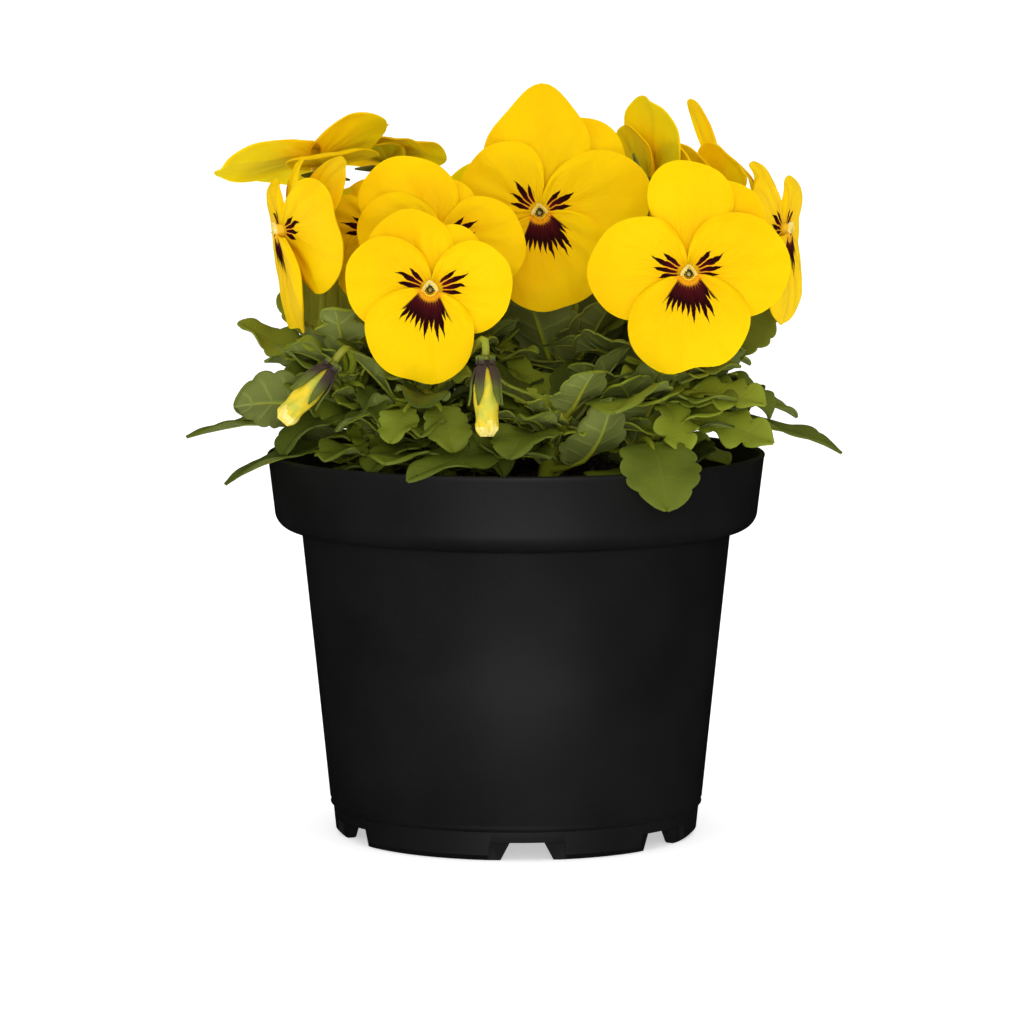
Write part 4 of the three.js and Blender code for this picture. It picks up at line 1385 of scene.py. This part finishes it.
def filling_leaves(number, route, taken, bloom_shapes, chance):
    """Small leaves that fill the room left on one stem, each where it has the most room."""
    leaves = []
    for k in range(number):
        best, best_room = None, LEAST_ROOM
        for _ in range(FILLING_TRIES):
            leaf = random_leaf(route, 0.08 + 0.8 * (k / number), chance)
            points = np.array([tuple(point) for point in leaf.samples()])
            gaps = np.linalg.norm(points[:, None, :] - np.array(taken)[None, :, :], axis=2)
            if gaps.min() > best_room and has_room(leaf, bloom_shapes):
                best, best_room = leaf, gaps.min()
        if best:
            leaves.append(best)
            taken.extend(tuple(point) for point in best.samples())
    return leaves


# ---------------------------------------------------------------- blooms and buds


class Bloom:
    """A bloom's place and directions: right and top in its plane, and the way it faces."""

    def __init__(self, row):
        self.row = row
        self.throat, self.reach = Vector(row["throat"]), row["reach"]
        tilt, roll = math.radians(row["tilt"]), math.radians(row["roll"])
        self.facing = ahead(row["bearing"]) * math.cos(tilt) + UP * math.sin(tilt)
        side = beside(row["bearing"])
        top = self.facing.cross(side)
        self.right = side * math.cos(roll) + top * math.sin(roll)
        self.top = top * math.cos(roll) - side * math.sin(roll)

    def matrix(self):
        rows = [(*parts, place) for *parts, place in zip(self.right, self.top, self.facing, self.throat)]
        return Matrix((*rows, (0, 0, 0, 1)))

    def stalk(self, foot):
        """The flower's stalk rises behind the bloom and hooks forward into its back."""
        seat = self.throat - self.facing * 0.0046
        back = self.throat - self.facing * 0.009 + self.top * 0.001
        bend = self.throat - self.facing * 0.011 - UP * 0.005
        middle = bend * 0.55 + foot * 0.45 - ahead(self.row["bearing"]) * 0.002
        return Route([foot, middle, bend, back, seat])

    def petal(self, name, number):
        """One petal: a fan about the throat, with a thin wavy edge and a slender claw."""
        form = {**PETALS[name], **self.row.get(name, {})}
        points, lean = math.radians(form["points"]), math.radians(form.get("lean", 0))
        skew, peak, notch = (form.get(key, 0) for key in ("skew", "peak", "notch"))
        axis = self.right * math.cos(points) + self.top * math.sin(points)
        across = self.facing.cross(axis)
        forward = axis * math.cos(lean) + self.facing * math.sin(lean)
        front = self.facing * math.cos(lean) - axis * math.sin(lean)
        length, fan = self.reach * form["reach"], math.radians(form["fan"])
        phase = number * 1.7
        mirror = -1 if name == "side_left" else 1

        def edge_at(spread, angle):
            """How far the petal's edge is from the throat, with its own waves."""
            spread = (spread - skew) / (1 - skew * spread)
            edge = length * math.cos(spread * math.pi / 2) ** form["blunt"]
            edge *= 1 + peak * math.exp(-((spread / 0.22) ** 2))
            edge *= 1 - notch * math.exp(-((angle / 0.2) ** 2))
            waves = 1
            for depth, number_of_waves in PETAL_EDGE_WAVES:
                waves += depth * math.sin(angle * number_of_waves + phase)
            return edge * waves

        def rise_at(angle, share, out):
            """How far the petal curls, waves and creases in front of its plane."""
            rise = form["curl"] * (out / length) ** 2
            rise += 0.0005 * share**2 * math.sin(angle * 3 + form["points"])
            rise += 0.00045 * share**3 * math.sin(angle * 7 + phase * 2)
            rise += 0.00006 * share * math.sin(angle * 19 + phase)
            rise -= 0.0005 * share * math.exp(-((angle / 0.13) ** 2))
            return rise - 0.0009 * max(share - 0.8, 0) / 0.2

        def place(u, v):
            spread = 1 - 2 * u
            spread = PETAL_SPREAD * (spread + math.sin(spread * math.pi / 2)) / 2
            angle, share = fan * spread, v**0.9
            out = PETAL_START + share * (edge_at(spread, angle) - PETAL_START)
            point = self.throat + self.facing * form["layer"] + forward * out * math.cos(angle)
            point += across * out * math.sin(angle) + front * rise_at(angle, share, out)
            sideways, level = out * math.sin(angle) * mirror, out * math.cos(angle)
            return point, (sideways * MILLIMETRES, level * MILLIMETRES, share)

        return sheet(PETAL_COLUMNS, PETAL_ROWS, place)


def sepal_sheet(seat, axis, out, across, length, path, tone):
    """A narrow sepal along an axis. path gives (share of the length, distance out, half width)."""
    shares, distances, halves = zip(*path)

    def place(u, v):
        share = shares[0] + (shares[-1] - shares[0]) * v
        distance = np.interp(share, shares, distances)
        half = np.interp(share, shares, halves)
        side = 2 * u - 1
        lift = 0.25 * half * (1 - side * side)
        point = seat + axis * share * length + out * float(distance + lift) + across * float(half * side)
        return point, (side, v, tone)

    return sheet(4, 10, place)


def make_calyx():
    """The star of five sepals behind a bloom, flat about its centre, with small lobes behind."""
    sepals = []
    for k in range(SEPALS):
        angle = math.radians(90 + 360 / SEPALS * k)
        axis = Vector((math.cos(angle), math.sin(angle), 0))
        across = Vector((math.sin(angle), -math.cos(angle), 0))
        parts = ((SEPAL_LENGTH, SEPAL_PATH, 0.35), (SEPAL_LOBE_LENGTH, SEPAL_LOBE, 0.2))
        for length, path, tone in parts:
            sepals.append(sepal_sheet(Vector(), axis, UP, across, length, path, tone))
    star = join("calyx", sepals)
    thicken(star, SEPAL_THICKNESS)
    return star


def make_heart():
    """A bloom's throat: its spur, a mouth painted dark for its shade, stigma, and two tufts of cream hairs
    over it.
    """
    cup = turned(THROAT_PROFILE, 24)
    dress(cup, "throat_cup", "throat_painted_shade")
    # The faces inside the mouth take painted shade: a dark olive for the shadow in the opening.
    for face in cup.data.polygons:
        inside = face.center.xy.length < 0.00108 and face.center.z > -0.001
        face.material_index = int(inside)
    bead = round_pad((0, -0.0001, 0.0004), (0.00045, 0.0005, 0.0005), 0)
    dress(bead, "stigma")
    pads = [
        round_pad((side * 0.00085, 0.0008, 0.0006), (0.00036, 0.0014, 0.0004), side * 40) for side in (-1, 1)
    ]
    chance = random.Random(11)
    hairs = [hair(side, chance) for side in (-1, 1) for _ in range(HAIRS)]
    tufts = join("tufts", [tubes(hairs, 0), *pads])
    dress(tufts, "tuft")
    return join("heart", [cup, bead, tufts])


def hair(side, chance):
    """One short hair beside the throat, as points and radii."""
    share = chance.random()
    root = Vector((side * (0.0001 + 0.0015 * share), 0.0018 - 0.002 * share, 0.0008))
    root += Vector((chance.uniform(-1, 1), chance.uniform(-1, 1), 0)) * 0.0002
    way = Vector((chance.uniform(-0.6, 0.6) - side * 0.3, chance.uniform(-0.8, 0.3), 0.9))
    way.normalize()
    length = chance.uniform(0.0003, 0.0006)
    return [(root, 0.00012), (root + way * length * 0.6, 0.0001), (root + way * length, 0.00005)]


def round_pad(place, size, turn):
    """A small ellipsoid, turned in the bloom's plane."""
    pad = fresh(bpy.ops.mesh.primitive_uv_sphere_add, segments=12, ring_count=8, radius=1)
    rotation = Quaternion((0, 0, 1), math.radians(turn))
    pad.data.transform(Matrix.LocRotScale(Vector(place), rotation, Vector(size)))
    return pad


class Bud:
    """A bud's seat, where its stalk ends, and the axis along which it hangs."""

    def __init__(self, row):
        self.row, self.seat, self.length = row, Vector(row["seat"]), row["length"]
        dip = math.radians(row["dip"])
        self.level = ahead(row["bearing"])
        self.axis = self.level * math.cos(dip) - UP * math.sin(dip)

    def stalk(self, foot):
        """A stalk that climbs past the bud and hooks over, so that the bud hangs from it."""
        over = self.seat - self.axis * 0.003 + UP * 0.0015 - self.level * 0.001
        middle = over * 0.6 + foot * 0.4 - self.level * 0.0015
        return Route([foot, middle, over, self.seat])

    def sepals(self):
        """Five sepals that clasp the bud, with their lobes."""
        side, sepals = beside(self.row["bearing"]), []
        for k in range(SEPALS):
            angle = math.radians(18 + 360 / SEPALS * k)
            out = side * math.cos(angle) + side.cross(self.axis) * math.sin(angle)
            across = self.axis.cross(out)
            for path in (BUD_SEPAL_PATH, BUD_SEPAL_LOBE):
                sepals.append(sepal_sheet(self.seat, self.axis, out, across, self.length, path, 0.9))
        whole = join("bud_sepals", sepals)
        thicken(whole, SEPAL_THICKNESS)
        return whole


def make_bud(bud):
    """The rolled petals of a bud, twisted about its axis, with a pale crumpled tip."""
    shares = [0.04 + 0.96 * k / 22 for k in range(23)]
    profile = [(float(np.interp(share, *zip(*BUD_RADII))), share * bud.length) for share in shares]
    body = turned(profile, 40)
    for vertex in body.data.vertices:
        share = vertex.co.z / bud.length
        angle = math.atan2(vertex.co.y, vertex.co.x) - share * 2.4
        fold = ((angle / math.tau * 5) % 1) ** 0.7
        crumple = 0.2 * max(share - 0.75, 0) * math.sin(angle * 11 + share * 40)
        scale = 1 + 0.16 * (fold - 0.6) * min(1, share * 4) + crumple * 4
        vertex.co.x *= scale
        vertex.co.y *= scale
        if share > 0.97:
            vertex.co.z -= 0.0012 * max(0, 1 - vertex.co.xy.length / 0.0009)
    dress(body, "bud_side", "bud_tip")
    for face in body.data.polygons:
        turn = math.sin(math.atan2(face.center.y, face.center.x) * 3)
        face.material_index = int(face.center.z > bud.length * (0.84 + 0.05 * turn))
    turn = UP.rotation_difference(bud.axis)
    body.data.transform(Matrix.LocRotScale(bud.seat, turn, (1, 1, 1)))
    smooth(body, 60)
    body.name = bud.row["name"] + "_petals"
    finish_piece(body, bud.row["name"])


def make_bloom(bloom, number, heart, thickness):
    """The five petals of a bloom about a copy of the heart."""
    petals = []
    for k, name in enumerate(PETALS):
        petal = bloom.petal(name, number * len(PETALS) + k)
        dress(petal, "petal_" + name.split("_")[0], "petal_back")
        thicken(petal, thickness, 1)
        petals.append(petal)
    whole = join(bloom.row["name"] + "_petals", [*petals, copy_of(heart, bloom.matrix())])
    smooth(whole, 60)
    finish_piece(whole, bloom.row["name"])


def buds_of(stem):
    return [Bud(row) for row in stem.get("buds", ())]


def blooms_of(stem):
    return [Bloom(row) for row in stem.get("blooms", ())]


def make_stem(settings, stem, taken, bloom_shapes, calyx):
    """One leafy stem: its stem, stalks, leaves, stipules, and the green parts of its flowers."""
    chance = random.Random(stem["name"])
    route = stem_route(stem)
    runs = [route.run(24, lambda share: STEM_RADIUS * (1.4 - 0.4 * share))]
    large = []
    for row in (*stem["leaves"], *stem.get("close_leaves", ())):
        tone = 0.15 + 0.55 * row[1] + chance.uniform(-0.15, 0.15) + (0.8 if row[0] == "stipule" else 0)
        large.append(Leaf(row, place_on(route, row[1]), tone))
    leaves = large + filling_leaves(settings.filling, route, taken, bloom_shapes, chance)
    runs += [leaf.rib() for leaf in leaves]
    blades = [leaf.blade() for leaf in leaves]
    for leaf in leaves:
        if leaf in large or chance.random() < STIPULE_CHANCE:
            blades += [leaflet.blade(6) for leaflet in stipules(leaf, chance)]
    foliage = join("foliage", blades)
    dress(foliage, "leaf_top", "leaf_under")
    thicken(foliage, settings.thickness, 1)
    sepals = []
    for bud in buds_of(stem):
        runs.append(bud.stalk(place_on(route, bud.row["at"])).run(20, lambda share: STALK_RADIUS))
        sepals.append(bud.sepals())
    for bloom in blooms_of(stem):
        stalk = bloom.stalk(place_on(route, bloom.row["at"]))
        runs.append(stalk.run(28, lambda share: STALK_RADIUS * (1.1 - 0.2 * share)))
        sepals.append(copy_of(calyx, bloom.matrix() @ Matrix.Translation((0, 0, -CALYX_BACK))))
    for piece in sepals:
        dress(piece, "sepal")
    green = tubes(runs, 2)
    dress(green, "stem_green")
    whole = join(stem["name"] + "_leaves", [foliage, green, *sepals])
    smooth(whole, 60)
    finish_piece(whole, stem["name"])


def make_stems(settings):
    """Every leafy stem, once it is known where the leaves, blooms and buds of all stems are."""
    taken, bloom_shapes = [], []
    for stem in STEMS:
        route = stem_route(stem)
        for row in stem["leaves"]:
            leaf = Leaf(row, place_on(route, row[1]), 0)
            taken.extend(tuple(point) for point in leaf.samples())
        for bloom in blooms_of(stem):
            bloom_shapes.append((bloom.throat, bloom.facing, bloom.reach * 1.1))
        for bud in buds_of(stem):
            bloom_shapes.append((bud.seat + bud.axis * bud.length / 2, bud.axis, bud.length * 0.6))
    calyx = make_calyx()
    for stem in STEMS:
        make_stem(settings.leaf, stem, taken, bloom_shapes, calyx)
    bpy.data.objects.remove(calyx)


def make_buds(settings):
    for stem in STEMS:
        for bud in buds_of(stem):
            make_bud(bud)


def make_blooms(settings):
    heart = make_heart()
    blooms = [bloom for stem in STEMS for bloom in blooms_of(stem)]
    for number, bloom in enumerate(blooms):
        make_bloom(bloom, number, heart, settings.bloom.thickness)
    bpy.data.objects.remove(heart)


# ---------------------------------------------------------------- the stage


def add_softbox(name, place, target, size, power, glossy=True):
    """A soft rectangular light that faces a target."""
    aim = (Vector(target) - Vector(place)).to_track_quat("-Z", "Y").to_euler()
    light = fresh(bpy.ops.object.light_add, type="AREA", location=place, rotation=aim)
    light.name = name
    light.data.shape = "RECTANGLE"
    light.data.size, light.data.size_y = size
    light.data.energy = power
    light.visible_glossy = glossy


def make_floor(stage):
    """A wide pale floor that shines a little, and that shiny surfaces don't mirror."""
    circle = bpy.ops.mesh.primitive_circle_add
    floor = fresh(circle, vertices=96, radius=FLOOR_RADIUS, fill_type="NGON")
    floor.name = "floor"
    tree = new_material("floor", Roughness=0.9, Specular_IOR_Level=0, Emission_Color=(1, 1, 1, 1))
    shader = tree.nodes["Principled BSDF"].inputs
    mottle = clouds(tree, 3).fade(0, 1)
    plug(tree, shader["Base Color"], mottle.blend(tint(stage.floor, 0.985), tint(stage.floor)))
    plug(tree, shader["Emission Strength"], stage.glow)
    dress(floor, "floor")
    floor.visible_glossy = False


def light_world(stage):
    """White for the camera and soft white light all round, which shiny surfaces don't mirror."""
    world = bpy.data.worlds.new("studio")
    bpy.context.scene.world = world
    world.use_nodes = True
    tree = world.node_tree
    camera_ray = Wire(add(tree, "ShaderNodeLightPath").outputs["Is Camera Ray"])
    background = tree.nodes["Background"].inputs
    plug(tree, background["Color"], (1, 1, 1, 1))
    plug(tree, background["Strength"], camera_ray * (1 - stage.fill) + stage.fill)
    world.cycles_visibility.glossy = False


def add_camera():
    """The photograph's camera, about 1.1 m in front and looking down a little."""
    turn = (math.radians(CAMERA_PITCH), 0, 0)
    camera = fresh(bpy.ops.object.camera_add, location=CAMERA_PLACE, rotation=turn)
    camera.data.lens = CAMERA_LENS
    camera.data.sensor_width = 36
    bpy.context.scene.camera = camera


def make_stage(settings):
    stage = settings.stage
    make_floor(stage)
    light_world(stage)
    add_softbox("front_light", (0.02, -1.5, 0.22), (0, 0, 0.07), (0.5, 0.8), stage.key)
    add_softbox("top_light", (0, -0.4, 1.5), (0, 0, 0.1), (1.6, 1.6), stage.top, False)
    add_camera()
    bpy.context.scene.view_settings.view_transform = "Standard"


# ---------------------------------------------------------------- operators and panel


class Step:
    """One step of the planter, which runs its work with the scene's settings."""

    def execute(self, context):
        self.work(context.scene.pansy)
        return {"FINISHED"}


class PANSY_OT_materials(Step, bpy.types.Operator):
    """Make the materials of the pot, soil, leaves and petals"""

    bl_idname = "pansy.materials"
    bl_label = "Make Materials"
    work = staticmethod(make_materials)


class PANSY_OT_pot(Step, bpy.types.Operator):
    """Make the round nursery pot"""

    bl_idname = "pansy.pot"
    bl_label = "Make Pot"
    work = staticmethod(make_pot)


class PANSY_OT_soil(Step, bpy.types.Operator):
    """Make the potting soil and its crumbs"""

    bl_idname = "pansy.soil"
    bl_label = "Make Soil"
    work = staticmethod(make_soil)


class PANSY_OT_leaves(Step, bpy.types.Operator):
    """Make the leafy stems with their stalks and sepals"""

    bl_idname = "pansy.leaves"
    bl_label = "Make Leafy Stems"
    work = staticmethod(make_stems)


class PANSY_OT_buds(Step, bpy.types.Operator):
    """Make the rolled petals of the buds"""

    bl_idname = "pansy.buds"
    bl_label = "Make Buds"
    work = staticmethod(make_buds)


class PANSY_OT_blooms(Step, bpy.types.Operator):
    """Make the open blooms"""

    bl_idname = "pansy.blooms"
    bl_label = "Make Blooms"
    work = staticmethod(make_blooms)


class PANSY_OT_stage(Step, bpy.types.Operator):
    """Make the floor, the lights and the camera"""

    bl_idname = "pansy.stage"
    bl_label = "Make Stage"
    work = staticmethod(make_stage)


OPERATORS = (
    PANSY_OT_materials, PANSY_OT_pot, PANSY_OT_soil, PANSY_OT_leaves, PANSY_OT_buds, PANSY_OT_blooms,
    PANSY_OT_stage,
)


class PansySettings(bpy.types.PropertyGroup):
    """All settings of the potted pansy."""

    pot: PointerProperty(type=PotSettings, name="Pot", description="Pot and soil")
    leaf: PointerProperty(type=LeafSettings, name="Leaves", description="Leaves and stems")
    bloom: PointerProperty(type=BloomSettings, name="Blooms", description="Blooms and buds")
    stage: PointerProperty(type=StageSettings, name="Stage", description="Floor and light")


class PANSY_PT_panel(bpy.types.Panel):
    """Lists the steps of the potted pansy"""

    bl_idname = "PANSY_PT_panel"
    bl_label = "Potted Pansy"
    bl_space_type = "VIEW_3D"
    bl_region_type = "UI"
    bl_category = "Pansy"

    def draw(self, context):
        for operator in OPERATORS:
            self.layout.operator(operator.bl_idname)


CLASSES = (
    PotSettings, LeafSettings, BloomSettings, StageSettings, PansySettings, *OPERATORS, PANSY_PT_panel,
)


def register():
    for entry in CLASSES:
        bpy.utils.register_class(entry)
    bpy.types.Scene.pansy = PointerProperty(type=PansySettings)


def unregister():
    del bpy.types.Scene.pansy
    for entry in reversed(CLASSES):
        bpy.utils.unregister_class(entry)


def main():
    register()
    bpy.ops.pansy.materials()
    bpy.ops.pansy.pot()
    bpy.ops.pansy.soil()
    bpy.ops.pansy.leaves()
    bpy.ops.pansy.buds()
    bpy.ops.pansy.blooms()
    bpy.ops.pansy.stage()
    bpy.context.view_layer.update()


if __name__ == "__main__":
    main()
